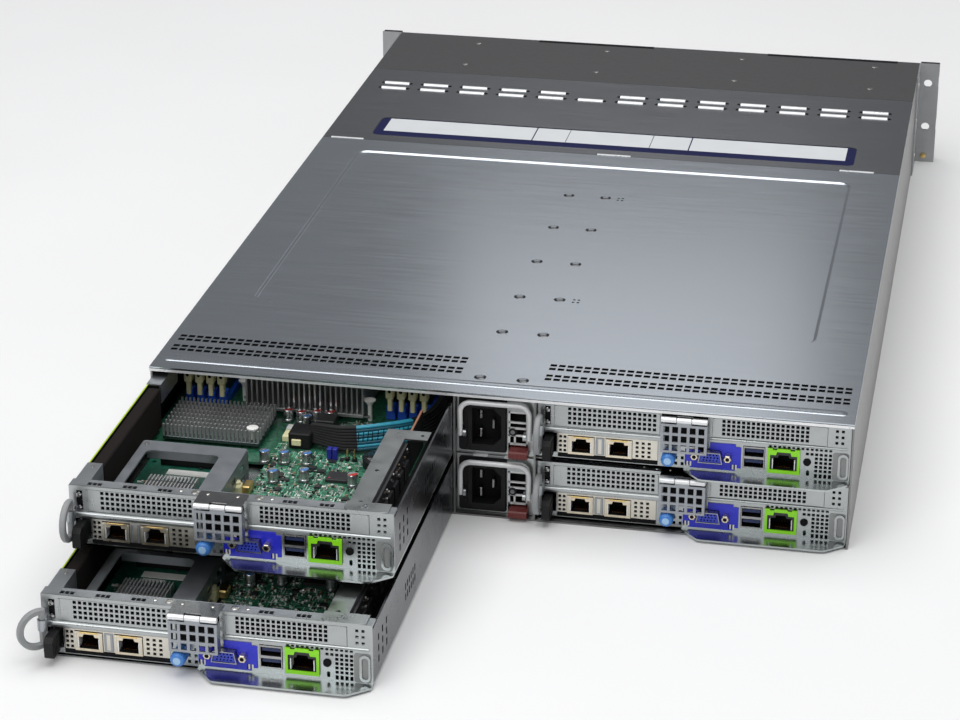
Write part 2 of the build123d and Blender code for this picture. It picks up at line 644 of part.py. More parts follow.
def fan_modules():
    """Four cooling fans in a row, each a frame and a rotor."""
    pieces = []
    front = (SEAM_1 + PLANE_Y - FAN_DEPTH) / 2
    z = SHEET + FAN_SIZE / 2
    radius = 0.46 * FAN_SIZE
    hub = RegularPolygon(0.4 * radius, 10)
    for k in range(5):
        blade = Rectangle(0.86 * radius, 7.0, align=(Align.MIN, Align.CENTER))
        hub += Rot(0, 0, 72 * k) * blade
    ring = Rectangle(FAN_SIZE, FAN_SIZE) - RegularPolygon(radius, 8)
    for i in range(FAN_COUNT):
        x = FAN_PITCH * (i - (FAN_COUNT - 1) / 2)
        plane = Plane(origin=(x, front, z), x_dir=(-1, 0, 0), z_dir=(0, 1, 0))
        frame = extrude(plane * ring, FAN_DEPTH)
        strut = Rectangle(FAN_SIZE, STRUT_WIDTH)
        frame += extrude(plane.offset(FAN_DEPTH - STRUT_DEPTH) * strut, STRUT_DEPTH)
        depth = FAN_DEPTH - 2 * STRUT_DEPTH
        rotor = extrude(plane.offset(STRUT_DEPTH - SEAT_GAP) * hub, depth)
        pieces += [frame, rotor]
    return pieces


def save(name, shape, place=None):
    """Write one node, moved to its place."""
    solids = shape if isinstance(shape, list) else [shape]
    moved = [place * s for s in solids] if place else solids
    found = [s for shape in moved for s in shape.solids()]
    whole = found[0] if len(found) == 1 else Compound(children=found)
    export_step(whole, f"parts/{name}.step")


os.makedirs("parts", exist_ok=True)

sled_nodes = {
    "tray": sled_tray(),
    "board": sled_board(),
    "heatsinks": sled_heatsinks(),
    "memory": sled_memory(),
    "network_card": sled_network_card(),
    "brackets": sled_brackets(),
    "air_flap": sled_flap(),
    "release_tab": sled_tab(),
    "thumbscrew": sled_screw(),
    "power_button": sled_button(),
}
for sled, (x, pull, z) in SLEDS.items():
    place = Pos(x, PANEL_Y + pull, z)
    for node, shape in sled_nodes.items():
        save(f"{sled}_{node}", shape, place)
    save(f"{sled}_pull_ring", sled_ring(RING_TURNS.get(sled, 0.0)), place)

supply_nodes = {"case": supply_case(), "bail": supply_bail(), "latch": supply_latch()}
for supply, z in SUPPLIES.items():
    for node, shape in supply_nodes.items():
        save(f"{supply}_{node}", shape, Pos(0, PANEL_Y, z))

save("chassis_tub", chassis_tub())
save("psu_cage", psu_cage())
save("rear_cover", rear_cover())
save("fan_cover", fan_cover())
save("drive_bay_top", drive_bay_top())
save("rack_ears", rack_ears())
save("control_panels", control_panels())
save("drive_carriers", drive_carriers())
save("backplanes", backplanes())
save("fan_modules", fan_modules())
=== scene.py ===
"""Looks of the two-unit rack server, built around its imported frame.

Lengths are millimetres. On a sled, u runs across from its +X edge, d outward from its rear
panel and w up from its underside. On the chassis and the supplies x, y and z are the frame's own.
"""
import math
import random

import bmesh
import bpy
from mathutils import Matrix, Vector
from mathutils.geometry import tessellate_polygon


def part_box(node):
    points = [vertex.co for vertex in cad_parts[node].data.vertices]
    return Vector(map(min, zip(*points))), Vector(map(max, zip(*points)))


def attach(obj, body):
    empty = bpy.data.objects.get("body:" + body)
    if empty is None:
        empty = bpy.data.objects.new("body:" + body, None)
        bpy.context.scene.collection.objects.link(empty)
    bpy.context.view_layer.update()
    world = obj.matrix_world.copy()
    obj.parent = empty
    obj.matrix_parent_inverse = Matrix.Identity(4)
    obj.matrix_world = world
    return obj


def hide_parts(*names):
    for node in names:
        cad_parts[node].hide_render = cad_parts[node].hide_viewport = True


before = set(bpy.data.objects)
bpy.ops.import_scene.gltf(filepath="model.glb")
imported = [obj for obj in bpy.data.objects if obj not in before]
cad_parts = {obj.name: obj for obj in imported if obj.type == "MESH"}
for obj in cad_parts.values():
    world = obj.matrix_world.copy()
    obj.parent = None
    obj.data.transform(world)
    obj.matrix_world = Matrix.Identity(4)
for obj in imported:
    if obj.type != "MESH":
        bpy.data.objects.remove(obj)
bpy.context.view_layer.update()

MM = 0.001
SHARP = math.radians(35)
SHEET = 1.2
SEAT_GAP = 0.25


def mm_box(node):
    """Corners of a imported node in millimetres."""
    lo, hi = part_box(node)
    return lo / MM, hi / MM


# Places and sizes read from the frame
tray_lo, tray_hi = mm_box("sled_1_tray")
SLED_W = tray_hi.x - tray_lo.x
SLED_H = tray_hi.z - tray_lo.z
SLED_NAMES = ["sled_1", "sled_2", "sled_3", "sled_4"]
SUPPLY_NAMES = ["supply_1", "supply_2"]
tub_lo, tub_hi = mm_box("chassis_tub")
HALF_W = tub_hi.x
FRONT_Y = tub_lo.y
REAR_Y = tub_hi.y
TOP_Z = mm_box("drive_bay_top")[1].z
COVER_Z = TOP_Z - SHEET


def panel_y(sled):
    """Rear panel of a sled, just behind its thumbscrew."""
    return mm_box(sled + "_thumbscrew")[0].y - SEAT_GAP


INNER_D = tray_lo.y - panel_y("sled_1")


# Materials

NOISE_MIDDLE = (0.3, 0.7)
GRAIN_DEPTH = 0.0002


def noise_value(nodes, links, coords, scale, detail, stretch):
    """A noise texture in object space, stretched along an axis if asked."""
    mapping = nodes.new("ShaderNodeMapping")
    mapping.inputs["Scale"].default_value = stretch
    links.new(coords.outputs["Object"], mapping.inputs["Vector"])
    noise = nodes.new("ShaderNodeTexNoise")
    noise.inputs["Scale"].default_value = scale
    noise.inputs["Detail"].default_value = detail
    links.new(mapping.outputs["Vector"], noise.inputs["Vector"])
    return noise.outputs["Fac"]


def ranged(nodes, links, value, low, high):
    """Maps the middle of a noise value to a range."""
    node = nodes.new("ShaderNodeMapRange")
    names = ("From Min", "From Max", "To Min", "To Max")
    for name, limit in zip(names, (*NOISE_MIDDLE, low, high)):
        node.inputs[name].default_value = limit
    links.new(value, node.inputs["Value"])
    return node.outputs["Result"]


def material(name, colour, rough, metal=0.0, mottle=0.08, scale=60.0, stretch=(1, 1, 1),
             rough_spread=0.08, grain=0.0, grain_scale=2500.0, coat=0.0, second=None, shine=0.5):
    """A surface with uneven colour and gloss, and a fine grain where asked."""
    made = bpy.data.materials.new(name)
    made.use_nodes = True
    nodes, links = made.node_tree.nodes, made.node_tree.links
    shader = nodes["Principled BSDF"]
    shader.inputs["Metallic"].default_value = metal
    shader.inputs["Coat Weight"].default_value = coat
    shader.inputs["Specular IOR Level"].default_value = shine
    coords = nodes.new("ShaderNodeTexCoord")
    value = noise_value(nodes, links, coords, scale, 4.0, stretch)
    mix = nodes.new("ShaderNodeMix")
    mix.data_type = "RGBA"
    dark = [c * (1 - mottle) for c in colour]
    light = second or [min(1.0, c * (1 + mottle)) for c in colour]
    mix.inputs["A"].default_value = (*dark, 1)
    mix.inputs["B"].default_value = (*light, 1)
    links.new(ranged(nodes, links, value, 0, 1), mix.inputs["Factor"])
    links.new(mix.outputs["Result"], shader.inputs["Base Color"])
    spread = rough_spread / 2
    links.new(ranged(nodes, links, value, rough - spread, rough + spread),
              shader.inputs["Roughness"])
    if grain:
        fine = noise_value(nodes, links, coords, grain_scale, 2.0, stretch)
        bump = nodes.new("ShaderNodeBump")
        bump.inputs["Strength"].default_value = grain
        bump.inputs["Distance"].default_value = GRAIN_DEPTH
        links.new(fine, bump.inputs["Height"])
        links.new(bump.outputs["Normal"], shader.inputs["Normal"])
    return made


BRUSHED_X = (0.06, 1, 1)
BRUSHED_Y = (1, 0.06, 1)
zinc = material("zinc_sheet", (0.43, 0.45, 0.452), 0.30, 1.0, 0.07, 90, rough_spread=0.1)
tub_steel = material("tub_steel", (0.25, 0.25, 0.247), 0.40, 1.0, 0.08, 70)
tongue_zinc = material("tongue_zinc", (0.47, 0.50, 0.50), 0.25, 1.0, 0.08, 60, rough_spread=0.06)
zinc_dull = material("zinc_dull", (0.42, 0.44, 0.46), 0.42, 1.0, 0.08, 70)
cover_zinc = material("cover_zinc", (0.59, 0.635, 0.69), 0.21, 1.0, 0.03, 300, BRUSHED_X,
                      0.05, 0.03, 1800)
# A darker copy of the cover zinc: painted shade, the light falling off towards the front of the top.
fan_cover_shaded_zinc = material("fan_cover_zinc_painted_shade", (0.33, 0.34, 0.36), 0.21, 1.0, 0.03, 300, BRUSHED_X,
                    0.05, 0.03, 1800)
dark_paint = material("dark_paint", (0.075, 0.075, 0.077), 0.48, 0.35, 0.05, 200, grain=0.12)
ear_paint = material("ear_paint", (0.41, 0.42, 0.43), 0.42, 0.7, 0.05, 120, grain=0.08)
# Bright plating on hinges and springs; on the cover's rear lip it is a painted highlight.
bright_plate_and_highlight = material("bright_plate_and_painted_highlight", (0.86, 0.87, 0.88), 0.30, 0.4, 0.04, 90)
nickel = material("nickel", (0.72, 0.70, 0.66), 0.20, 1.0, 0.06, 150)
dark_nickel = material("dark_nickel", (0.34, 0.34, 0.34), 0.16, 1.0, 0.10, 90)
warm_nickel = material("socket_shield", (0.72, 0.64, 0.50), 0.30, 1.0, 0.10, 200)
brass = material("brass", (0.72, 0.53, 0.22), 0.32, 1.0, 0.12, 200)
copper = material("copper", (0.30, 0.13, 0.05), 0.35, 1.0, 0.12, 300)
aluminium = material("fin_aluminium", (0.54, 0.54, 0.54), 0.38, 0.75, 0.06, 90, BRUSHED_Y, 0.1, 0.06)
can = material("capacitor_can", (0.68, 0.69, 0.70), 0.28, 1.0, 0.05, 120)
black = material("black_plastic", (0.010, 0.010, 0.011), 0.50, 0, 0.15, 120, grain=0.15, shine=0.25)
# Black for black parts, and black fill behind holes and in hollows: painted shade.
black_and_shade_fill = material("black_and_painted_shade", (0.008, 0.008, 0.009), 0.60, 0, 0.15, 120, shine=0.1)
chip = material("chip_black", (0.022, 0.022, 0.024), 0.40, 0, 0.2, 300, grain=0.15)
grey = material("grey_plastic", (0.175, 0.18, 0.185), 0.50, 0, 0.08, 120, grain=0.3)
bail_grey = material("bail_grey", (0.72, 0.73, 0.73), 0.36, 0.15, 0.05, 120, grain=0.1)
knob_blue = material("knob_blue", (0.055, 0.22, 0.62), 0.34, 0, 0.10, 120, coat=0.2)
knob_tip = material("knob_tip", (0.36, 0.58, 0.84), 0.30, 0, 0.10, 120)
port_blue = material("port_blue", (0.016, 0.022, 0.62), 0.36, 0, 0.06, 120, coat=0.15)
insert_blue = material("insert_blue", (0.035, 0.060, 0.52), 0.40, 0, 0.10, 120)
usb_navy = material("usb_navy", (0.008, 0.022, 0.10), 0.40, 0, 0.10, 120)
lime = material("lime_plastic", (0.28, 0.80, 0.004), 0.36, 0, 0.05, 120, coat=0.15)
lime_edge = material("lime_edge", (0.45, 0.62, 0.03), 0.45, 0, 0.10, 120)
cream = material("cream_plastic", (0.86, 0.81, 0.48), 0.45, 0, 0.08, 200, grain=0.1)
white = material("white_plastic", (0.80, 0.80, 0.77), 0.42, 0, 0.04, 200, grain=0.1)
socket_blue = material("socket_blue", (0.016, 0.085, 0.50), 0.42, 0, 0.12, 120)
header_blue = material("header_blue", (0.018, 0.024, 0.30), 0.42, 0, 0.10, 120)
teal = material("teal_wire", (0.03, 0.30, 0.42), 0.38, 0, 0.10, 200, coat=0.1)
latch_red = material("latch_red", (0.145, 0.020, 0.018), 0.42, 0, 0.12, 120, grain=0.2)
cap_blue = material("cap_blue", (0.10, 0.26, 0.62), 0.35, 0.3, 0.08, 200)
cap_red = material("cap_red", (0.55, 0.035, 0.03), 0.35, 0.2, 0.08, 200)
tan = material("chip_tan", (0.34, 0.22, 0.13), 0.45, 0, 0.15, 300)
solder = material("solder", (0.74, 0.74, 0.72), 0.30, 1.0, 0.10, 300)
navy = material("navy_print", (0.008, 0.010, 0.060), 0.55, 0, 0.06, 90, shine=0.15)
paper = material("label_white", (0.70, 0.72, 0.74), 0.40, 0, 0.02, 60, coat=0.2)
rule_grey = material("label_rule", (0.10, 0.10, 0.11), 0.45, 0, 0.05, 60)
card_edge = material("card_brown", (0.30, 0.14, 0.08), 0.50, 0, 0.1, 120)
board_green = material("board_green", (0.012, 0.075, 0.040), 0.34, 0, 0.35, 420, coat=0.2,
                       second=(0.040, 0.190, 0.110))
card_green = material("card_green", (0.006, 0.080, 0.050), 0.36, 0, 0.30, 260, coat=0.2,
                      second=(0.012, 0.130, 0.082))
bright_warm = material("card_plate", (0.66, 0.63, 0.56), 0.34, 1.0, 0.06, 120)
# A dark copy of the sheet steel: painted shade on the sled side walls, in countersinks and under the
# low sink.
shade_dark_steel = material("side_wall_painted_shade", (0.11, 0.118, 0.13), 0.26, 1.0, 0.10, 60)
frame_steel = material("card_frame_steel", (0.34, 0.36, 0.39), 0.40, 0.9, 0.06, 90)
shield = material("port_shield", (0.36, 0.36, 0.36), 0.28, 1.0, 0.10, 120)
pad_grey = material("pad_grey", (0.27, 0.28, 0.275), 0.42, 0.2, 0.06, 120, grain=0.1)
loop_grey = material("loop_grey", (0.28, 0.29, 0.295), 0.46, 0, 0.06, 120, grain=0.2)
duct_brown = material("duct_brown", (0.012, 0.009, 0.008), 0.85, 0, 0.15, 90, grain=0.2, shine=0.2)
teal_dark = material("teal_wire_dark", (0.008, 0.085, 0.13), 0.40, 0, 0.10, 200, coat=0.1)
trace_green = material("trace_green", (0.10, 0.36, 0.22), 0.40, 0, 0.10, 300)
module_green = material("module_green", (0.008, 0.050, 0.030), 0.40, 0, 0.2, 200)


# Mesh building

def rect(a0, a1, b0, b1):
    """A rectangle as a loop of points."""
    return [(a0, b0), (a1, b0), (a1, b1), (a0, b1)]


def ngon(a, b, radius, sides):
    """A regular polygon as a loop of points."""
    turn = 2 * math.pi / sides
    return [(a + radius * math.cos(turn * i), b + radius * math.sin(turn * i))
            for i in range(sides)]


def rounded(a0, a1, b0, b1, radius, steps=6):
    """A rectangle with round corners as a loop of points."""
    loop = []
    corners = ((a1, b1, 0), (a0, b1, 1), (a0, b0, 2), (a1, b0, 3))
    for a, b, quarter in corners:
        ca = a - radius if quarter in (0, 3) else a + radius
        cb = b - radius if quarter in (0, 1) else b + radius
        for i in range(steps + 1):
            angle = math.pi / 2 * (quarter + i / steps)
            loop.append((ca + radius * math.cos(angle), cb + radius * math.sin(angle)))
    return loop


def grid(a0, a1, columns, b0, b1, rows, da, db):
    """Rectangular holes of one size on an even grid, given by the first and last centres."""
    loops = []
    for i in range(columns):
        for j in range(rows):
            a = a0 + (a1 - a0) * i / max(1, columns - 1)
            b = b0 + (b1 - b0) * j / max(1, rows - 1)
            loops.append(rect(a - da / 2, a + da / 2, b - db / 2, b + db / 2))
    return loops


def lift(normal, a, b, t):
    """A point of a plane drawing at height t along the plane's normal."""
    return {"x": (t, a, b), "y": (a, t, b), "z": (a, b, t)}[normal]


class Part:
    """A mesh drawn from boxes, plates, turned shapes and tubes, with a material on each face."""

    def __init__(self, mirror=1):
        self.bm = bmesh.new()
        self.mirror = mirror
        self.materials = []

    def faces(self, points, faces, look):
        """Adds faces over a list of points, with one look or a look for each face."""
        looks = look if isinstance(look, list) else [look] * len(faces)
        for each in looks:
            if each not in self.materials:
                self.materials.append(each)
        verts = [self.bm.verts.new((x * self.mirror * MM, y * MM, z * MM)) for x, y, z in points]
        for corner, each in zip(faces, looks):
            face = self.bm.faces.new([verts[i] for i in corner])
            face.material_index = self.materials.index(each)

    def box(self, x0, x1, y0, y1, z0, z1, look, cut=0.0):
        """A box, with chamfered edges if cut is given."""
        lo = [min(x0, x1), min(y0, y1), min(z0, z1)]
        hi = [max(x0, x1), max(y0, y1), max(z0, z1)]
        if not cut:
            self.plate("z", rect(lo[0], hi[0], lo[1], hi[1]), [], lo[2], hi[2], look)
            return
        points, index, corners = [], {}, []
        for k in range(8):
            corners.append((k & 1, k >> 1 & 1, k >> 2 & 1))
        for corner in corners:
            for axis in range(3):
                index[corner, axis] = len(points)
                points.append([
                    (hi[i] if corner[i] else lo[i]) + (0 if i == axis else cut * (1 - 2 * corner[i]))
                    for i in range(3)])
        faces = []
        for axis in range(3):
            i, j = [k for k in range(3) if k != axis]
            for side in (0, 1):
                ring = []
                for a, b in ((0, 0), (1, 0), (1, 1), (0, 1)):
                    corner = [side] * 3
                    corner[i], corner[j] = a, b
                    ring.append(index[tuple(corner), axis])
                faces.append(ring)
            for a in (0, 1):
                for b in (0, 1):
                    low, high = [0] * 3, [1] * 3
                    low[i] = high[i] = a
                    low[j] = high[j] = b
                    low, high = tuple(low), tuple(high)
                    faces.append([index[low, i], index[high, i], index[high, j], index[low, j]])
        faces += [[index[c, 0], index[c, 1], index[c, 2]] for c in corners]
        self.faces(points, faces, look)

    def plate(self, normal, outline, holes, lo, hi, look, hole_look=None):
        """A flat sheet with through holes, whose walls may have a look of their own."""
        loops = [outline] + holes
        flat = [p for loop in loops for p in loop]
        count = len(flat)
        triangles = tessellate_polygon([[Vector((a, b, 0)) for a, b in loop] for loop in loops])
        points = [lift(normal, a, b, t) for t in (lo, hi) for a, b in flat]
        faces = [list(t) for t in triangles] + [[i + count for i in t] for t in triangles]
        looks = [look] * len(faces)
        first = 0
        for loop in loops:
            wall = look if loop is outline else hole_look or look
            for i in range(len(loop)):
                j = (i + 1) % len(loop)
                faces.append([first + i, first + j, first + j + count, first + i + count])
                looks.append(wall)
            first += len(loop)
        self.faces(points, faces, looks)

    def loft(self, loops, look, caps=(True, True)):
        """A skin through loops of equally many points."""
        size = len(loops[0])
        points = [p for loop in loops for p in loop]
        faces = []
        for k in range(len(loops) - 1):
            for i in range(size):
                j = (i + 1) % size
                faces.append([k * size + i, k * size + j, (k + 1) * size + j, (k + 1) * size + i])
        if caps[0]:
            faces.append(list(range(size)))
        if caps[1]:
            faces.append([(len(loops) - 1) * size + i for i in range(size)])
        self.faces(points, faces, look)

    def turned(self, normal, a, b, profile, look, sides=16):
        """A round shape about a normal through (a, b), from (radius, height) pairs."""
        self.loft([[lift(normal, p, q, t) for p, q in ngon(a, b, r, sides)] for r, t in profile], look)

    def rod(self, normal, a, b, radius, lo, hi, look, sides=16):
        """A cylinder along a normal."""
        self.turned(normal, a, b, [(radius, lo), (radius, hi)], look, sides)

    def tube(self, path, radius, look, sides=12):
        """A round wire along a path of points."""
        path = [Vector(p) for p in path]
        loops = []
        side = None
        for i, p in enumerate(path):
            ahead = (path[min(i + 1, len(path) - 1)] - path[max(i - 1, 0)]).normalized()
            side = side or ahead.orthogonal()
            side = (side - ahead * side.dot(ahead)).normalized()
            up = ahead.cross(side)
            turn = 2 * math.pi / sides
            loops.append([p + radius * (side * math.cos(turn * k) + up * math.sin(turn * k))
                          for k in range(sides)])
        self.loft(loops, look)

    def mesh(self, name):
        """The finished mesh."""
        bmesh.ops.recalc_face_normals(self.bm, faces=self.bm.faces)
        data = bpy.data.meshes.new(name)
        self.bm.to_mesh(data)
        self.bm.free()
        for look in self.materials:
            data.materials.append(look)
        data.shade_smooth()
        data.set_sharp_from_angle(angle=SHARP)
        return data


def drawn(draw, name, mirror=1):
    """The mesh that a drawing function makes."""
    part = Part(mirror)
    draw(part)
    return part.mesh(name)


def put(data, name, body, origin=(0, 0, 0), nodes=(), turn=0.0):
    """Places a mesh on a body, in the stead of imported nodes, turned about Z by degrees."""
    obj = bpy.data.objects.new(name, data)
    bpy.context.scene.collection.objects.link(obj)
    obj.location = Vector(origin) * MM
    obj.rotation_euler.z = math.radians(turn)
    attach(obj, body)
    if nodes:
        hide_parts(*nodes)


# Sled: tray, panel and what is fixed to them

EDGE_U = 0.4
U0, U1 = -EDGE_U, SLED_W - EDGE_U
LEFT_SLOT = (10.0, 77.0, 22.5, 37.0)
RIGHT_SLOT = (109.5, 181.0, 24.0, 37.0)
CARD_WINDOW = (12.5, 76.0, 1.6, 18.4)
TAB_WINDOW = (2.6, 12.0, 4.6, 18.4)
VGA_WINDOW = (101.0, 117.4, 7.0, 16.0)
USB_WINDOW = (129.2, 142.9, 4.9, 20.1)
LAN_WINDOW = (145.8, 163.2, 4.5, 19.9)
VENT_WINDOW = (80.0, 106.0, 16.0, 36.5)
RECESS = (4.2, 7.8, 23.4, 36.0)
USB_MOUTHS = (5.7, 12.9)
BUTTON_AT = (169.0, 12.4)
SCREW_AT = (83.5, 10.4)
FLAP_U = (78.5, 107.5)
HINGE_D = 9.0
HINGE_W = SLED_H - 1.4
RING_U, RING_D = 2.0, 6.5
RING_TURNS = {"sled_2": -45.0}
KNUCKLE_W = (19.0, 26.0)
BOARD_TOP = 5.0
CARD_TOP = 4.2
FLANGE_D = -9.0
WALL_TOP = 36.0
PANEL_VENTS = [(174.6, 183.2, 4, 6.8, 15.2, 4, 1.9, 1.9), (168.9, 183.2, 6, 18.0, 18.0, 1, 1.9, 1.8),
               (146.0, 183.2, 14, 21.2, 21.2, 1, 1.8, 1.5), (174.6, 183.2, 4, 3.4, 3.4, 1, 1.9, 2.8),
               (186.6, 190.2, 2, 27.0, 35.0, 3, 1.8, 1.8), (87.4, 91.4, 2, 4.0, 12.0, 3, 1.8, 2.2)]
PROCESSOR_ROWS = (0, 148)
RISER = (178.6, 180.2, -107, -14)
CHOKE_AT = (157, -129)


def sled_tray(part):
    floor = [(U0, INNER_D), (U1, INNER_D), (U1, 4), (186, 12), (183, 14.2), (180, 14.5),
             (106, 14.5), (103.5, 14.0), (92.5, 2.5), (92.5, 0), (U0, 0)]
    part.plate("z", floor, [], 0, SHEET, tongue_zinc)
    vents = grid(-110, -85, 6, 12, 19, 2, 2.2, 4.6) + grid(-35, -15, 3, 10, 24, 3, 2.6, 4.4)
    vents += grid(-330, -300, 6, 12, 19, 2, 2.2, 4.6)
    # The side walls take the dark steel: painted shade on the walls inside the sled.
    for u in (U0, U1 - SHEET):
        part.plate("x", rect(INNER_D, -SHEET, SHEET, WALL_TOP), vents, u, u + SHEET, shade_dark_steel)
    windows = [rect(*w) for w in (LEFT_SLOT, RIGHT_SLOT, CARD_WINDOW, TAB_WINDOW, VGA_WINDOW,
                                  USB_WINDOW, LAN_WINDOW, VENT_WINDOW, RECESS)]
    holes = [ngon(*BUTTON_AT, 2.55, 20), rounded(168.6, 170.6, 3.0, 6.8, 0.9, 3)]
    for field in PANEL_VENTS:
        holes += grid(*field)
    part.plate("y", rect(U0, U1, 0, SLED_H), windows + holes, -SHEET, 0, zinc)
    # Black boxes behind the vent field, the screw recess and the vent holes: painted shade inside the
    # panel.
    for u0, u1, w0, w1 in (VENT_WINDOW, RECESS):
        part.box(u0 - 0.5, u1 + 0.5, -4.0, -SHEET, w0 - 0.5, w1 + 0.5, black_and_shade_fill)
    part.box(173, 185, -3.0, -2.2, 2, 20, black_and_shade_fill)
    part.box(145, 185, -3.0, -2.2, 20, 22.4, black_and_shade_fill)
    for w in (25.0, 33.5):
        part.turned("y", 5.8, w, [(1.7, -1.3), (1.7, 0.6), (1.0, 1.0)], dark_nickel, 14)
    slots = []
    for u in (14.5, 36.0, 57.4, 133.0, 155.0):
        slots += grid(u - 3.0, u + 3.0, 3, -4.0, -4.0, 1, 2.5, 3.4)
    part.plate("z", rect(U0, U1, FLANGE_D, -SHEET), slots, SLED_H - SHEET, SLED_H, zinc_dull)
    # A black strip under the flange slots: painted shade.
    part.box(10, 160, FLANGE_D, -1.3, SLED_H - 2.2, SLED_H - 1.8, black_and_shade_fill)
    for u, radius in ((75.5, 2.4), (67.0, 1.3), (114.3, 2.4), (122.0, 1.3)):
        head = [(radius, SLED_H - 0.2), (radius, SLED_H + 0.35), (radius * 0.6, SLED_H + 0.6)]
        part.turned("z", u, -5.0, head, nickel)
    for u0, u1, low, high, out in ((0.8, 77.6, 18.6, 22.2, 1.5), (108.2, 193.5, 22.3, 24.0, 0.9)):
        step = [(0, low), (out * 0.8, low), (out, low + 0.5), (out, high - 1.2),
                (out * 0.8, high - 0.5), (out * 0.4, high - 0.1), (0, high)]
        part.plate("x", step, [], u0, u1, zinc)
    part.plate("y", rounded(184.6, 194.6, 1.6, 20.4, 1.5, 3), [], 0, 0.3, pad_grey)
    oval_hole = rounded(189.4, 193.2, 4.4, 18.2, 1.8, 6)
    part.plate("y", rounded(188.0, 194.4, 2.6, 20.0, 3.1, 6), [oval_hole], 0.3, 1.3, zinc)


def slot_cover(part, window, columns, first, last, rows, low, high):
    u0, u1, w0, w1 = window
    gap = SEAT_GAP
    field = grid(first, last, columns, low, high, rows, 2.05, 2.05)
    part.plate("y", rect(u0 + gap, u1 - gap, w0 + gap, w1 - gap), field, -1.1, -0.1, zinc)
    for end in (u0 + gap, u1 - gap - 0.7):
        part.box(end, end + 0.7, -0.1, 0.35, w0 + gap, w1 - gap, zinc)
    # A black sheet behind the perforations: painted shade.
    part.box(first - 2, last + 2, -2.8, -2.0, low - 2, high + 1.6, black_and_shade_fill)


def sled_brackets(part):
    slot_cover(part, LEFT_SLOT, 18, 19.8, 73.4, 4, 25.6, 35.2)
    slot_cover(part, RIGHT_SLOT, 18, 116.6, 168.4, 4, 26.8, 35.4)
    opening = rounded(20.5, 67, -84, -12, 4.0, 4)
    part.plate("z", rounded(14.5, 81, -97, -10, 2.0, 3), [opening], 23, 24.2, frame_steel)
    part.plate("x", rect(-97, -12, SHEET, 23), grid(-84, -24, 4, 9, 17, 2, 9, 4), 80, 81, frame_steel)
    part.box(20.0, 67.5, -85.2, -84.2, 18.5, 23, frame_steel)
    part.rod("z", 18, -92, 1.6, 24.2, 25.0, nickel, 12)
    end = FLANGE_D - 1
    rail = [(165, end), (165, -118), (192.2, -118), (192.2, -106), (178, -106), (178, end)]
    rail_holes = [ngon(171.5, d, 1.4, 12) for d in (-18, -60)] + [ngon(188, -112, 1.2, 10)]
    part.plate("z", rail, rail_holes, 35, 36, zinc)
    part.plate("x", rect(-106, end, BOARD_TOP, 35), [], 177, 178, zinc_dull)
    ear = [(165.5, -11), (192, -11), (192, -1), (185, 0.6), (168, 0.6), (165.5, -3)]
    part.plate("z", ear, [ngon(175.2, -4.2, 1.2, 10), ngon(178.8, -4.2, 1.2, 10),
                          ngon(177.0, -7.0, 1.2, 10)], SLED_H, SLED_H + 0.7, zinc)
    part.box(0.8, 9, -150, -36, 8, 35, duct_brown, 0.8)
    for d0, d1 in ((-186, -151), (-35, end)):
        part.plate("z", rect(U0, 9, d0, d1), [], WALL_TOP, WALL_TOP + 1, zinc_dull)
        part.plate("x", rect(d0, d1, 24, WALL_TOP), [], 8, 9, zinc_dull)
        part.rod("z", 4.5, d0 + 5, 1.2, WALL_TOP + 0.9, WALL_TOP + 1.4, nickel, 12)
    part.box(U0 + 0.1, U0 + 1.1, INNER_D + 2, -12, WALL_TOP, WALL_TOP + 0.5, lime_edge, 0.2)
    eye = ngon(RING_U, RING_D, 1.85, 20)
    part.plate("z", ngon(RING_U, RING_D, 2.8, 20), [eye], *KNUCKLE_W, zinc_dull)
    part.box(RING_U - 1.6, RING_U + 1.6, 0, RING_D - 2.4, *KNUCKLE_W, zinc_dull)
    u0, u1 = FLAP_U
    third = (u1 - u0) / 3
    left, right = u0 + third - SEAT_GAP, u1 - third + SEAT_GAP
    leaf = [(u0, -7), (u1, -7), (u1, HINGE_D), (right, HINGE_D), (right, HINGE_D - 2.4),
            (left, HINGE_D - 2.4), (left, HINGE_D), (u0, HINGE_D)]
    part.plate("z", leaf, [], SLED_H, SLED_H + 0.7, dark_nickel)
    for u in (u0 + 5.5, u1 - 5.5):
        head = [(1.2, SLED_H + 0.6), (1.2, SLED_H + 1.0), (0.7, SLED_H + 1.2)]
        part.turned("z", u, -2.5, head, nickel, 12)
    for u in (u0, u1 - third):
        part.turned("x", HINGE_D, HINGE_W, [(1.4, u), (1.7, u + 0.3), (1.7, u + third - 0.3),
                                            (1.4, u + third)], bright_plate_and_highlight, 20)


def sled_flap(part):
    u0, u1 = FLAP_U
    third = (u1 - u0) / 3
    near, far = HINGE_D - 0.1, HINGE_D + 0.9
    left, right = u0 + third + SEAT_GAP, u1 - third - SEAT_GAP
    outline = [(u0, 15.5), (u1, 15.5), (u1, 35.2), (right, 35.2), (right, 37), (left, 37),
               (left, 35.2), (u0, 35.2)]
    field = grid(u0 + 3.6, u1 - 3.6, 5, 19.2, 31.4, 3, 3.7, 4.3)
    part.plate("y", outline, field, near, far, frame_steel)
    for u in (u0, u1 - 0.9):
        part.plate("x", rect(near - 5, near, 15.5, 34.5), [], u, u + 0.9, frame_steel)
    part.turned("x", HINGE_D, HINGE_W, [(1.4, left), (1.7, left + 0.35), (1.7, right - 0.35),
                                        (1.4, right)], bright_plate_and_highlight, 20)


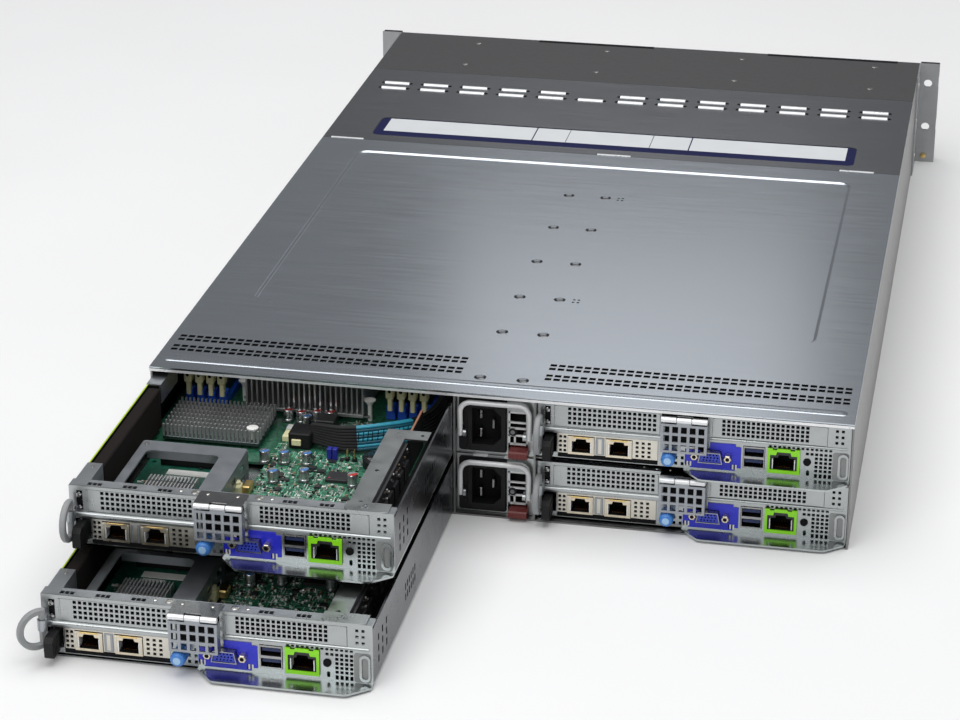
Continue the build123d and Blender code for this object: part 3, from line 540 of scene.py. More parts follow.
def sled_ring(part):
    """The pull ring about its pin: a bar open at the knuckle, bent round into a loop."""
    mid, reach, outer, inner, half_bar, half_t = 20.3, 3.0, 13.0, 9.2, 1.7, 1.8
    low, high = KNUCKLE_W[0] - SEAT_GAP, KNUCKLE_W[1] + SEAT_GAP
    outer_end = math.acos(-(reach + half_bar) / outer)
    inner_end = math.acos(-(reach - half_bar) / inner)
    edges = [((-half_bar, high), (half_bar, high))]
    steps = 28
    for i in range(steps + 1):
        share = 1 - 2 * i / steps
        a, b = outer_end * share, inner_end * share
        edges.append(((reach + outer * math.cos(a), mid + outer * math.sin(a)),
                      (reach + inner * math.cos(b), mid + inner * math.sin(b))))
    edges.append(((-half_bar, low), (half_bar, low)))
    round_section = [(0.0, -0.6), (0.0, 0.6), (0.15, 1.0), (0.85, 1.0), (1.0, 0.6), (1.0, -0.6),
                     (0.85, -1.0), (0.15, -1.0)]
    loops = []
    for out, into in edges:
        loops.append([(half_t * t, out[0] + (into[0] - out[0]) * k, out[1] + (into[1] - out[1]) * k)
                      for k, t in round_section])
    part.loft(loops, loop_grey)
    part.rod("z", 0, 0, 1.6, low - 1.6, high + 1.6, nickel, 16)


def sled_tab(part):
    part.box(5.0, 9.6, -22, 2, 4.9, 14.9, black, 0.5)
    head = [(1.0, 3.6), (12.0, 3.6), (14.0, 5.2), (14.0, 14.4), (11.2, 17.0), (1.0, 17.0)]
    part.plate("x", head, [], 4.8, 10.0, black)
    for d in (4.0, 6.4, 8.8, 11.2):
        part.box(10.0, 10.4, d, d + 1.1, 5.2, 15.2, black, 0.15)


def sled_screw(part):
    flutes = 22
    ring = []
    for i in range(flutes * 2):
        turn = math.pi * i / flutes
        ring.append((math.cos(turn), math.sin(turn), 4.5 if i % 2 else 4.15))
    levels = ((0.25, 0.86), (0.8, 1.0), (10.4, 1.0), (11.4, 0.88), (11.9, 0.66))
    part.loft([[(SCREW_AT[0] + c * r * k, d, SCREW_AT[1] + s * r * k) for c, s, r in ring]
               for d, k in levels], knob_blue)
    part.turned("y", *SCREW_AT, [(2.3, 11.8), (2.3, 12.2), (1.6, 12.25)], knob_tip, 18)


def sled_button(part):
    part.turned("y", *BUTTON_AT, [(2.3, -7.5), (2.3, 1.0), (2.0, 1.4), (1.2, 1.5)], black_and_shade_fill, 24)


def jack(part, u0, u1, w0, w1, d0, d1, shell, room=0.0):
    """A network socket: shield, stepped mouth, contacts and side springs."""
    mid = (u0 + u1) / 2
    base = w0 + 1.5 - room
    half, step = 5.9 + room, 7.6 + room
    ledge, roof = base + step, base + step + 1.8
    left, right = mid - half - 0.6, mid + half + 0.6
    back, front = d1 - 13, d1 - 0.5
    mouth = [(mid - half, base), (mid + half, base), (mid + half, ledge), (mid + 3.6, ledge),
             (mid + 3.0, roof), (mid - 3.0, roof), (mid - 3.6, ledge), (mid - half, ledge)]
    part.plate("y", rect(u0, u1, w0, w1), [mouth], front, d1, shell)
    part.box(u0, u1, d0, back, w0, w1, shell, 0.3)
    for a, b in ((u0, left), (right, u1)):
        part.box(a, b, back, front, w0, w1, shell)
    part.box(left, right, back, front, roof + 0.1, w1, shell)
    # Black floor and back of the mouth: painted shade inside the socket.
    part.box(left, right, back, front, w0, base - 0.1, black_and_shade_fill)
    part.box(left, right, back + 0.1, back + 1.5, base, roof, black_and_shade_fill)
    for i in range(8):
        u = mid - 3.6 + 1.03 * i
        part.box(u - 0.25, u + 0.25, back + 1.5, d1 - 3.0, base + 0.3, base + 0.9, copper)
    for a, b in ((mid - half - 0.5, mid - half), (mid + half, mid + half + 0.5)):
        part.box(a, b, d1 - 6.0, d1 + 0.25, base + 0.6, ledge - 0.8, bright_plate_and_highlight)


def sled_network_card(part):
    part.plate("z", rect(12.8, 75, -112, -1.5), [ngon(16.5, -108, 1.6, 12), ngon(71, -108, 1.6, 12)],
               2.6, CARD_TOP, card_green)
    u0, u1, _, w1 = CARD_WINDOW
    u0, u1, w1 = u0 + SEAT_GAP, u1 - SEAT_GAP, w1 - SEAT_GAP
    ports = ((19.0, 35.6), (43.0, 59.6))
    holes = [rect(a - SEAT_GAP, b + SEAT_GAP, 4.6, 17.0) for a, b in ports]
    holes += grid(14.2, 17.0, 2, 6.2, 15.6, 4, 1.8, 1.8)
    holes += grid(62.8, 70.4, 3, 6.4, 15.4, 4, 1.9, 1.7)
    part.plate("y", rect(u0, u1, 4.5, w1), holes, -1.2, -0.2, bright_warm)
    # Black boxes behind the vent holes: painted shade.
    part.box(13.2, 18.2, -2.2, -1.3, 4.6, 17.2, black_and_shade_fill)
    part.box(60.2, 75.4, -2.2, -1.3, 4.6, 17.2, black_and_shade_fill)
    part.box(u0, u1, -6, -1.2, w1 - 1.0, w1, bright_warm)
    # A black strip below the bracket: painted shade.
    part.box(u0, u1, -1.5, -0.4, 1.9, 4.4, black_and_shade_fill)
    part.box(36.6, 42.0, -0.2, 0.3, 5.0, 16.8, frame_steel, 0.2)
    part.box(38.2, 40.4, 0.3, 0.45, 6.0, 16.0, bright_warm)
    for a, b in ports:
        jack(part, a, b, CARD_TOP, 16.6, -22, 0.4, warm_nickel)
        for side in (a + 0.2, b - 1.2):
            part.box(side, side + 1.0, 0.4, 0.7, 5.0, 15.6, bright_warm)
        part.box(a + 3.0, b - 3.0, 0.4, 0.8, 15.6, 16.5, brass, 0.15)
    part.box(25, 55, -76, -50, CARD_TOP, 6.5, aluminium)
    for i in range(14):
        u = 25 + 2.26 * i
        for d in (-76, -67, -58):
            part.box(u, u + 0.8, d, d + 7.6, 6.5, 12, aluminium)
    part.box(29, 57, -99, -92, CARD_TOP, CARD_TOP + 0.3, white)
    part.box(31, 45, -90, -87, CARD_TOP, CARD_TOP + 0.3, white)
    part.box(22, 70, -111, -104, CARD_TOP, 9.0, black, 0.3)
    rng = random.Random(3)
    for _ in range(110):
        u, d = rng.uniform(15, 72), rng.uniform(-103, -26)
        if 23 < u < 57 and (-78 < d < -48 or -101 < d < -86):
            continue
        look = rng.choice((chip, chip, tan, solder, white))
        a, b = rng.uniform(0.5, 1.8), rng.uniform(0.4, 1.2)
        part.box(u - a, u + a, d - b, d + b, CARD_TOP, CARD_TOP + rng.uniform(0.4, 1.4), look)


# Sled: board and what stands on it

def capacitor(part, u, d, top):
    base, radius, height = BOARD_TOP, 3.3, 8.4
    part.box(u - radius, u + radius, d - radius, d + radius, base, base + 1.0, chip, 0.4)
    part.turned("z", u, d, [(radius, base + 1.0), (radius, base + 1.8), (radius * 0.9, base + 2.2),
                            (radius, base + 2.6), (radius, base + height - 0.5),
                            (radius * 0.9, base + height)], can, 20)
    lid = [(u + radius * 0.88 * math.cos(math.pi * (i / 10 - 0.2)),
            d + radius * 0.88 * math.sin(math.pi * (i / 10 - 0.2))) for i in range(11)]
    part.plate("z", lid, [], base + height, base + height + 0.15, top)


def push_pin(part, u, d, high):
    part.turned("z", u, d, [(1.5, BOARD_TOP), (1.5, high - 4), (2.2, high - 3.2), (2.2, high - 2),
                            (3.8, high - 1.2), (3.8, high - 0.4), (2.8, high)], white, 16)


def sled_ports(part):
    """Display, serial bus and service network sockets, and the push switch."""
    top = BOARD_TOP
    notch = [(93, 4.4), (96.4, 4.4), (96.4, 2.4), (124.4, 2.4), (124.4, 4.4), (128, 4.4), (128, 18.6),
             (124.6, 18.6), (124.6, 20.4), (108.5, 20.4), (108.5, 14.6), (93, 14.6)]
    window = [(101.3, 7.8), (117.1, 7.8), (115.6, 15.6), (108.5, 15.6), (102.8, 14.0)]
    part.plate("y", notch, [window], 0.02, 0.7, port_blue)
    for u in (94.2, 122.6):
        for k in range(2):
            part.box(u + 2.0 * k, u + 2.0 * k + 1.0, 0.7, 0.85, 3.4, 6.6, white)
            part.box(u + 2.0 * k - 0.7, u + 2.0 * k, 0.7, 0.8, 3.4, 6.6, black_and_shade_fill)
    part.box(95, 125.5, -15, -1.4, top, 17.8, black, 0.3)
    shell = [(101.5, 8.0), (116.9, 8.0), (115.4, 15.4), (103.0, 15.4)]
    inner = [(102.1, 8.5), (116.3, 8.5), (115.0, 14.9), (103.4, 14.9)]
    part.plate("y", shell, [inner], -1.4, 5.0, shield)
    pins = []
    for row, w in enumerate((9.8, 11.7, 13.6)):
        pins += [ngon(105.0 + 2.1 * i + (0.5 if row == 1 else 0), w, 0.6, 8) for i in range(5)]
    part.plate("y", inner, pins, -1.4, 4.2, insert_blue)
    # A black plate behind the pin insert: painted shade.
    part.box(103, 116, -1.5, -1.3, 8.6, 14.8, black_and_shade_fill)
    for u in (99.2, 120.0):
        part.turned("y", u, 11.6, [(2.6, 0.7), (2.6, 4.6), (2.2, 5.0)], warm_nickel, 6)
        # A black disc in each post: painted shade in its thread hole.
        part.rod("y", u, 11.6, 1.3, 4.9, 5.05, black_and_shade_fill, 12)
    u0, u1 = 129.5, 142.6
    holes = [rect(u0 + 0.5, u1 - 0.5, w, w + 5.9) for w in USB_MOUTHS]
    part.plate("y", rect(u0, u1, top, 19.8), holes, -11, 0.6, shield)
    # A black block behind the sockets: painted shade inside them.
    part.box(u0, u1, -17, -11, top, 19.8, black_and_shade_fill)
    for w in USB_MOUTHS:
        part.box(u0 + 1.2, u1 - 1.2, -11, -0.6, w + 2.9, w + 4.9, usb_navy)
        part.box(u0 + 0.5, u1 - 0.5, -10, 0.55, w, w + 0.35, shield)
        for i in range(4):
            u = u0 + 3.0 + 2.35 * i
            part.box(u - 0.5, u + 0.5, -9, -1.4, w + 2.6, w + 2.9, brass)
    jack(part, 146.2, 162.8, top, 19.5, -21, 0.6, chip, 0.7)
    mid = 154.5
    frame_hole = [(mid - 8.4, 5.8), (mid + 8.4, 5.8), (mid + 8.4, 16.0), (mid + 4.8, 16.0),
                  (mid + 4.2, 18.2), (mid - 4.2, 18.2), (mid - 4.8, 16.0), (mid - 8.4, 16.0)]
    crown = [(144.4, 3.6), (164.6, 3.6), (164.6, 20.4), (161.4, 20.4), (161.4, 19.4), (158.6, 19.4),
             (158.6, 20.4), (150.4, 20.4), (150.4, 19.4), (147.6, 19.4), (147.6, 20.4), (144.4, 20.4)]
    part.plate("y", crown, [frame_hole], 0.62, 1.5, lime)
    part.box(165.6, 172.4, -16, -9, top, 16.5, black, 0.4)


def sled_cable(part):
    """Black plug and sleeve, then a band of wires on edge that runs to the inner end."""
    part.box(94.5, 109, -157, -141, BOARD_TOP, 15.8, black, 0.8)
    part.box(96.5, 107, -160, -157, BOARD_TOP, 12, black, 0.4)
    part.box(97, 103, -141, -139.4, BOARD_TOP + 3, 12, cream, 0.3)
    route = [(107, -149.0), (113, -147.4), (119, -145.6), (125, -144.2), (131, -144.0), (138, -145.4),
             (146, -149.0), (155, -153.8), (164, -158.8), (171, -163.8), (176.5, -170), (180.5, -179),
             (182.8, -190), (183.4, -204), (183.4, -300), (183.4, -400), (183.4, INNER_D + 18)]
    sleeve_end, bare_end = 5, 10
    wires, pitch, lean, middle = 8, 1.7, 0.9, 14.0
    for layer in (-0.9, 0.9):
        for k in range(wires):
            across = k - (wires - 1) / 2
            line = []
            for i, (u, d) in enumerate(route):
                a = route[max(i - 1, 0)]
                b = route[min(i + 1, len(route) - 1)]
                along = Vector((b[0] - a[0], b[1] - a[1])).normalized()
                spread = min(1.0, 0.7 + 0.07 * i)
                side = layer - lean * across * spread
                w = middle + pitch * across * spread
                line.append((u - along.y * side, d + along.x * side, w))
            part.tube(line[sleeve_end - 1:bare_end + 1], 0.95, teal if k % 2 else teal_dark, 8)
            part.tube(line[:sleeve_end + 1], 1.3, black, 8)
            part.tube(line[bare_end - 1:], 1.1, black, 8)
    for i in range(sleeve_end, bare_end):
        u, d = route[i]
        for share in (0.15, 0.5, 0.85):
            un, dn = route[i + 1]
            a, b = u + (un - u) * share, d + (dn - d) * share
            part.tube([(a - 1.6, b - 2.6, 6.8), (a - 0.2, b + 2.2, 10), (a + 0.4, b + 2.6, 16),
                       (a + 0.8, b + 2.6, 19.4)], 0.28, black_and_shade_fill, 5)
    part.box(177.4, 189.4, INNER_D + 6, INNER_D + 20, BOARD_TOP, 16.5, black, 0.6)


CAPACITORS = [(85, -119, "blue"), (97.5, -120, "blue"), (112, -121, "blue"), (97.5, -93, "blue"),
              (116, -98, "blue"), (98, -174, "blue"), (147, -97, "red"), (84, -181, "red"),
              (93, -180, "red"), (102.5, -183, "red"), (111.5, -183, "red")]
CLEAR = [(94, 135, -162, -138), (127, 148, -112, -97), (145, 164, -142, -116), (86, 128, -18, 0),
         (128, 190, -24, 0), (136, 190, -176, -138), (164, 190, -176, 0), (3, 86, -190, 0)]


def small_parts(part):
    """Chips, resistors, pads and printed lines spread over the open part of the board."""
    top = BOARD_TOP
    rng = random.Random(11)
    spots = [(u, d) for u, d, _ in CAPACITORS]
    for _ in range(2400):
        u, d = rng.uniform(87, 164), rng.uniform(-188, -20)
        if any(a < u < b and c < d < e for a, b, c, e in CLEAR):
            continue
        if any(abs(u - a) < 4.6 and abs(d - b) < 4.6 for a, b in spots):
            continue
        kind = rng.random()
        long, wide = rng.uniform(0.4, 1.0), rng.uniform(0.3, 0.6)
        high, look = rng.uniform(0.4, 1.2), rng.choice((chip, chip, tan, solder, solder, white))
        if kind < 0.02:
            long, wide, high, look = rng.uniform(1.6, 2.8), rng.uniform(1.2, 2.2), 1.2, chip
        elif kind < 0.30:
            long, wide, high, look = rng.uniform(1.0, 2.8), 0.16, 0.05, white
        elif kind < 0.60:
            long, wide, high, look = rng.uniform(1.5, 6.0), 0.24, 0.04, trace_green
        if rng.random() < 0.5:
            long, wide = wide, long
        part.box(u - long, u + long, d - wide, d + wide, top, top + high, look)


def sled_board(part):
    top = BOARD_TOP
    outline = [(3.5, INNER_D + 4), (190, INNER_D + 4), (190, -3), (86, -3), (86, -118), (3.5, -118)]
    part.plate("z", outline, [], top - 1.6, top, board_green)
    sled_ports(part)
    sled_cable(part)
    for u, d, colour in CAPACITORS:
        capacitor(part, u, d, cap_blue if colour == "blue" else cap_red)
    part.box(129, 146, -111, -99, top, top + 2.2, chip, 0.2)
    part.rod("z", 131, -101.5, 0.7, top + 2.2, top + 2.3, cap_red, 10)
    part.box(106, 118, -178, -166, top, top + 9, chip, 0.4)
    part.box(35, 57, -168, -146, top, 7, chip)
    for back in PROCESSOR_ROWS:
        part.box(64, 122, -275.5 - back, -205.5 - back, top, 7.5, zinc_dull, 0.3)
    for u in (124.0, 127.6):
        part.box(u - 1.5, u + 1.5, -133, -129, top, top + 8, header_blue, 0.3)
    for u in (135.5, 140.0):
        part.box(u - 1.4, u + 1.4, -132.4, -129.6, top, top + 2.4, black, 0.2)
        for d in (-131.6, -130.2):
            part.rod("z", u, d, 0.45, top + 2.4, top + 8, brass, 6)
    part.turned("z", *CHOKE_AT, [(11.2, top), (11.2, top + 5.2), (10.2, top + 6)], black, 32)
    part.turned("z", *CHOKE_AT, [(9.0, top + 5.9), (9.0, top + 6.3), (8.4, top + 6.5)], dark_nickel, 32)
    part.box(157.5, 161.5, -119.5, -117.4, top, top + 9, white, 0.3)
    part.box(176.4, 177.6, -160, -120, top, 30, chip)
    part.box(176.3, 177.7, -160, -120, 30, 30.8, card_edge, 0.2)
    part.box(76.5, 83.5, -76, -68, CARD_TOP, 12.5, cream, 1.0)
    part.turned("z", 80, -72, [(3.0, 12.4), (3.0, 14), (1.8, 14.6)], cream, 16)
    part.box(83.2, 88.6, -83, -73, top, 10.5, brass, 0.8)
    part.box(178.3, 183.5, -104, -18, top, 12, black, 0.3)
    part.box(*RISER, 12, 33, chip)
    # A black sheet on the board beside the riser: painted shade under the riser.
    sheet = [(178.3, -175), (189.8, -175), (189.8, -14), (184, -14), (184, -106), (178.3, -106)]
    part.plate("z", sheet, [], top, top + 0.3, black)
    part.box(*RISER, 33, 33.4, chip)
    rng = random.Random(5)
    for i in range(6):
        part.box(180.2, 182.0, -100 + 14 * i, -90 + 14 * i, 15, 25, chip, 0.3)
    for _ in range(70):
        d, w = rng.uniform(-105, -16), rng.uniform(14, 32)
        part.box(180.2, 180.8, d - 0.6, d + 0.6, w - 0.4, w + 0.4, rng.choice((white, solder, tan)))
    part.box(55, 140, INNER_D + 0.5, INNER_D + 8.5, top, 20, black, 0.6)
    part.box(87, 92, -170, -164, top, top + 3, white, 0.3)
    part.box(88, 95, -160, -150, top, top + 4, cream, 0.4)
    small_parts(part)


def sled_heatsinks(part):
    left, right, count, thick = 54, 132, 23, 1.1
    for back in PROCESSOR_ROWS:
        d1 = -188 - back
        d0 = d1 - 105
        part.box(left, right, d0, d1, 7.5, 10, aluminium, 0.4)
        for i in range(count):
            u = left + (right - left - thick) * i / (count - 1)
            part.box(u, u + thick, d0, d1, 10, 34, aluminium)
        for u, d in ((48, d1 - 18), (135.5, d1 - 4), (48, d0 + 10), (135.5, d0 + 10)):
            part.box(min(u, 93), max(u, 93), d - 3, d + 3, 7.7, 9.0, zinc_dull)
            push_pin(part, u, d, 20)
    # The low sink's base takes the dark steel: painted shade under its pins.
    part.box(14, 77, -178, -135, 7, 9.5, shade_dark_steel, 0.3)
    for i in range(24):
        u = 14 + 2.69 * i
        for k in range(8):
            d = -177.6 + 5.85 * k
            part.box(u, u + 1.1, d, d + 1.6, 9.5, 17.5, aluminium)
    push_pin(part, 71.5, -141, 18.0)


def sled_memory(part):
    for first in (13.8, 148.4):
        for back in PROCESSOR_ROWS:
            d1 = -195 - back
            d0 = d1 - 138
            for i in range(4):
                u = first + 7.5 * i
                part.box(u - 3.0, u + 3.0, d0, d1, BOARD_TOP, 10, socket_blue, 0.4)
                for end, way in ((d0, -1), (d1, 1)):
                    a, b = sorted((end - way * 7, end + way * 1.0))
                    part.box(u - 2.6, u + 2.6, a, b, 10, 15, socket_blue, 0.5)
                    a, b = sorted((end - way * 2.0, end + way * 2.4))
                    part.box(u - 1.5, u + 1.5, a, b, 12, 23, cream, 0.5)
                    a, b = sorted((end - way * 3.0, end + way * 3.4))
                    part.box(u - 2.6, u + 2.6, a, b, 21, 33, cream, 0.7)
                    # A black disc in each latch: painted shade in its hole.
                    part.rod("y", u, 26.5, 1.1, *sorted((end + way * 3.3, end + way * 3.5)), black_and_shade_fill, 10)
                part.box(u - 0.7, u + 0.7, d0 + 5, d1 - 5, 10, 35.6, module_green, 0.2)
                for k in range(9):
                    d = d0 + 12 + 13.2 * k
                    part.box(u - 1.9, u - 0.7, d, d + 9.5, 15, 30, chip, 0.2)
                    part.box(u + 0.7, u + 1.9, d, d + 9.5, 15, 30, chip, 0.2)


SLED_PIECES = [
    ("tray", sled_tray, "", "tray_steel"),
    ("brackets", sled_brackets, "", "bracket_steel"),
    ("network_card", sled_network_card, "", "board_green"),
    ("board", sled_board, "", "board_green"),
    ("heatsinks", sled_heatsinks, "", "sink_aluminium"),
    ("memory", sled_memory, "", "memory_dark"),
    ("pull_ring", sled_ring, "_ring", "loop_grey"),
    ("air_flap", sled_flap, "_flap_leaf", "flap_steel"),
    ("release_tab", sled_tab, "_tab_lever", "black_plastic"),
    ("thumbscrew", sled_screw, "_knob", "knob_blue"),
    ("power_button", sled_button, "_push", "black_plastic"),
]


def build_sleds():
    """Every sled carries the same pieces, moved to its own place; the ring stands at its own turn."""
    for node, draw, body, slot in SLED_PIECES:
        data = drawn(draw, "sled_" + node, 1 if node == "pull_ring" else -1)
        for sled in SLED_NAMES:
            lo, hi = mm_box(sled + "_tray")
            origin = Vector((hi.x - EDGE_U, panel_y(sled), lo.z))
            name = f"{sled}_{node}"
            turn = 0.0
            if node == "pull_ring":
                origin += Vector((-RING_U, RING_D, 0))
                turn = RING_TURNS.get(sled, 0.0)
            put(data, name + "_look", sled + body, origin, [name], turn)


# Power supplies

case_lo, case_hi = mm_box("supply_1_case")
SUPPLY_HALF = (case_hi.x - case_lo.x) / 2
SUPPLY_H = case_hi.z - case_lo.z
SUPPLY_L = 220.0
BAIL_Y = 4.6
BAIL_R = 1.7
BAIL_HALF = 0.445 * 2 * SUPPLY_HALF
BAIL_PIVOT = 0.36 * SUPPLY_H
LUG_HALF = 2.4
CASE_WALL = 0.9
INLET = (18.1, -6.7, 2.0, 35.0)


def supply_case(part):
    half, high, wall = SUPPLY_HALF, SUPPLY_H, CASE_WALL
    x0, x1, z0, z1 = INLET
    windows = [rect(x1, x0, z0, z1), rect(-20.6, -8.0, 1.4, 30.0)]
    part.plate("y", rect(-half, half, 0, high), windows, -1.0, 0, zinc)
    part.box(-half, half, -SUPPLY_L, -9, 0, high, zinc_dull, 0.6)
    # A black plate at the back of the face recess: painted shade inside it.
    part.box(-half + wall, half - wall, -9.2, -8.2, wall, high - wall, black_and_shade_fill)
    for a, b, c, d in ((-half, -half + wall, 0, high), (half - wall, half, 0, high),
                       (-half, half, 0, wall), (-half, half, high - wall, high)):
        part.box(a, b, -9, -1, c, d, zinc_dull)
    for z in (29.4, 22.4, 18.4, 13.4, 7.4):
        part.box(-20.6, -8.0, -1.0, 0, z - 0.6, z + 0.6, bail_grey)
    for x, low, rise in ((-8.6, 6.8, 30.0), (-20.0, 6.8, 30.0), (-12.2, 7.4, 13.4)):
        part.box(x - 0.6, x + 0.6, -1.0, 0, low, rise, bail_grey)
    part.turned("y", -10.9, 15.9, [(2.7, -6), (2.7, 0.4), (2.3, 0.7)], black, 24)
    part.turned("y", -10.9, 15.9, [(1.4, 0.6), (1.4, 0.85), (0.9, 0.9)], grey, 16)
    part.plate("y", rounded(x1 - 0.6, half - 1.2, 1.0, high - 1.6, 2.0, 4), [rect(x1, x0, z0, z1)],
               0, 0.5, black)
    mid = (z0 + z1) / 2
    left, right, tall, corner = x0 - 3.0, x1 + 3.0, (z1 - z0) / 2 - 4.0, 5.0
    mouth = [(left, mid - tall), (left, mid + tall), (right + corner, mid + tall),
             (right, mid + tall - corner), (right, mid - tall + corner), (right + corner, mid - tall)]
    block = rounded(x1 + SEAT_GAP, x0 - SEAT_GAP, z0 + SEAT_GAP, z1 - SEAT_GAP, 1.2, 3)
    part.plate("y", block, [mouth], -17, 1.2, black)
    part.plate("y", block, [], -23.5, -17, black)
    for x, z in ((left - 5.0, mid + 6.5), (left - 5.0, mid - 6.5), (left - 13.0, mid)):
        part.box(x - 0.9, x + 0.9, -17.2, -3, z - 3, z + 3, shield, 0.4)
    lug = BAIL_HALF - BAIL_R - SEAT_GAP
    profile = [(0, BAIL_PIVOT - LUG_HALF), (BAIL_Y, BAIL_PIVOT - LUG_HALF)]
    for i in range(1, 6):
        turn = math.pi * i / 6
        profile.append((BAIL_Y + BAIL_R * math.sin(turn), BAIL_PIVOT - LUG_HALF * math.cos(turn)))
    profile += [(BAIL_Y, BAIL_PIVOT + LUG_HALF), (0, BAIL_PIVOT + LUG_HALF)]
    for side in (-1, 1):
        part.plate("x", profile, [], side * lug, side * (lug - 2.0), zinc)


def supply_bail(part):
    top = SUPPLY_H - 2.2 - BAIL_R
    bend = 7.0
    path = [(BAIL_HALF, BAIL_Y, BAIL_PIVOT - 1.2), (BAIL_HALF, BAIL_Y, BAIL_PIVOT + 4)]
    for i in range(9):
        turn = math.pi / 2 * i / 8
        x = BAIL_HALF - bend + bend * math.cos(turn)
        path.append((x, BAIL_Y, top - bend + bend * math.sin(turn)))
    path += [(-x, y, z) for x, y, z in reversed(path)]
    part.tube(path, BAIL_R, bail_grey, 16)


def supply_latch(part):
    part.box(-10.6, -21.1, -8, 1, 2.0, 4.4, latch_red)
    profile = [(0.4, 0.6), (7.8, 0.6), (9.0, 1.8), (9.0, 5.0), (8.0, 5.8), (0.4, 5.8)]
    part.plate("x", profile, [], -9.6, -21.5, latch_red)
    for i in range(4):
        x = -11.4 - 2.4 * i
        part.box(x - 0.6, x + 0.6, 9.0, 9.3, 1.8, 5.0, latch_red)


def build_supplies():
    pieces = (("case", supply_case, "", "supply_grey"), ("bail", supply_bail, "_handle", "bail_grey"),
              ("latch", supply_latch, "_release", "latch_red"))
    for node, draw, body, slot in pieces:
        data = drawn(draw, "supply_" + node)
        for supply in SUPPLY_NAMES:
            low = mm_box(supply + "_case")[0]
            origin = (0, low.y + SUPPLY_L, low.z)
            name = f"{supply}_{node}"
            put(data, name + "_look", supply + body, origin, [name])


# Chassis

def screw_head(part, x, y, z, radius, look):
    """A low round head with a cross recess."""
    part.turned("z", x, y, [(radius, z - 0.3), (radius, z + 0.25), (radius * 0.75, z + 0.5),
                            (radius * 0.4, z + 0.55)], look, 16)
    # The cross recess is black: painted shade in it.
    part.box(x - radius * 0.5, x + radius * 0.5, y - 0.18, y + 0.18, z + 0.4, z + 0.6, black_and_shade_fill)


def pressed_field(part, x0, x1, y0, y1, radius, depth, look, holes):
    """The sloped rim and the floor of a field pressed into a sheet, above and below."""
    steps = ((0.0, 0.0), (0.4, 0.14), (1.1, 0.5), (1.8, 0.86), (2.2, 1.0))
    for drop in (0.0, SHEET):
        loops = []
        for inset, share in steps:
            edge = rounded(x0 + inset, x1 - inset, y0 + inset, y1 - inset, max(radius - inset, 1), 8)
            loops.append([(a, b, TOP_Z - drop - depth * share) for a, b in edge])
        part.loft(loops, look, (False, False))
    inset = steps[-1][0]
    floor = rounded(x0 + inset, x1 - inset, y0 + inset, y1 - inset, max(radius - inset, 1), 8)
    part.plate("z", floor, holes, TOP_Z - depth - SHEET, TOP_Z - depth, look)


def dimple(part, x, y, z):
    """A countersunk screw: cone and low head."""
    rings = [[(a, b, z - t) for a, b in ngon(x, y, r, 20)] for r, t in
             ((4.0, 0.0), (3.4, 0.3), (2.4, 1.0), (2.4, 1.15), (3.9, 1.15))]
    # The cone takes the dark steel: painted shade in the countersink.
    part.loft(rings + [rings[0]], shade_dark_steel, (False, False))
    part.turned("z", x, y, [(2.3, z - 1.15), (2.3, z - 0.95), (1.2, z - 0.85)], dark_nickel, 16)


VENT_ROWS = (315.0, 320.7, 331.2, 336.8)
SCREW_ROWS = (5, 72, 139, 204.5, 268, 342)


def rear_cover(part):
    lo, hi = mm_box("rear_cover")
    y0, y1 = lo.y, hi.y
    field = (-190.0, 190.0, y0 + 24, y1 - 119, 9.0)
    vents = []
    for side in (-1, 1):
        for y in VENT_ROWS:
            vents += grid(side * 29.0, side * 217.0, 35, y, y, 1, 4.2, 3.5)
        # Black sheets under the outer vent rows: painted shade below them.
        part.box(side * 205, side * 221, 312, 340, COVER_Z - 0.15, COVER_Z - 0.02, black_and_shade_fill)
    screws = [(side * 13.7, y) for side in (-1, 1) for y in SCREW_ROWS]
    marks = []
    for y in (6, 205):
        marks += grid(-26.6, -23.4, 2, y - 2.2, y + 2.2, 2, 1.7, 1.9)
    flat = [s for s in screws if s[1] > field[3]]
    sunk = [s for s in screws if s[1] < field[3]]
    holes = [rounded(*field, 8)] + vents + [ngon(x, y, 4.0, 20) for x, y in flat]
    part.plate("z", rect(-HALF_W, HALF_W, y0, y1), holes, COVER_Z, TOP_Z, cover_zinc, black_and_shade_fill)
    floor_holes = [ngon(x, y, 4.0, 20) for x, y in sunk] + marks
    pressed_field(part, *field, 1.0, cover_zinc, floor_holes)
    for x, y in flat:
        dimple(part, x, y, TOP_Z)
    for x, y in sunk:
        dimple(part, x, y, TOP_Z - 1.0)
    bead = []
    for inset, rise in ((0, -0.1), (0.4, 0.06), (1.4, 0.34), (2.6, 0.52), (3.4, 0.55)):
        edge = rounded(-HALF_W + 5 + inset, HALF_W - 5 - inset, y1 - 19 + inset, y1 - 11 - inset,
                       4 - inset, 6)
        bead.append([(a, b, TOP_Z + rise) for a, b in edge])
    part.loft(bead, cover_zinc)
    # The folded rear lip takes the bright plate: a painted highlight along the edge.
    lip = [(y1 - 1.2, COVER_Z), (y1 - 1.2, lo.z), (y1, lo.z), (y1, COVER_Z + 0.4)]
    part.plate("x", lip, [], -HALF_W, HALF_W, bright_plate_and_highlight)
    for x in (205, -6, -192):
        part.box(x - 13, x + 13, y0 - 2.6, y0 - 0.5, TOP_Z - 0.3, TOP_Z + 0.35, bright_plate_and_highlight, 0.15)


BRIDGE_ROWS = (35.0, 48.0)
BRIDGE_COLUMNS = 13
BRIDGE_REACH = 196.8
LABEL_HALF = 0.421 * 2 * HALF_W
LABEL_FRONT, LABEL_REAR = 55, 13
LABEL_GAP = 0.6
LABEL_SUNK = 0.45


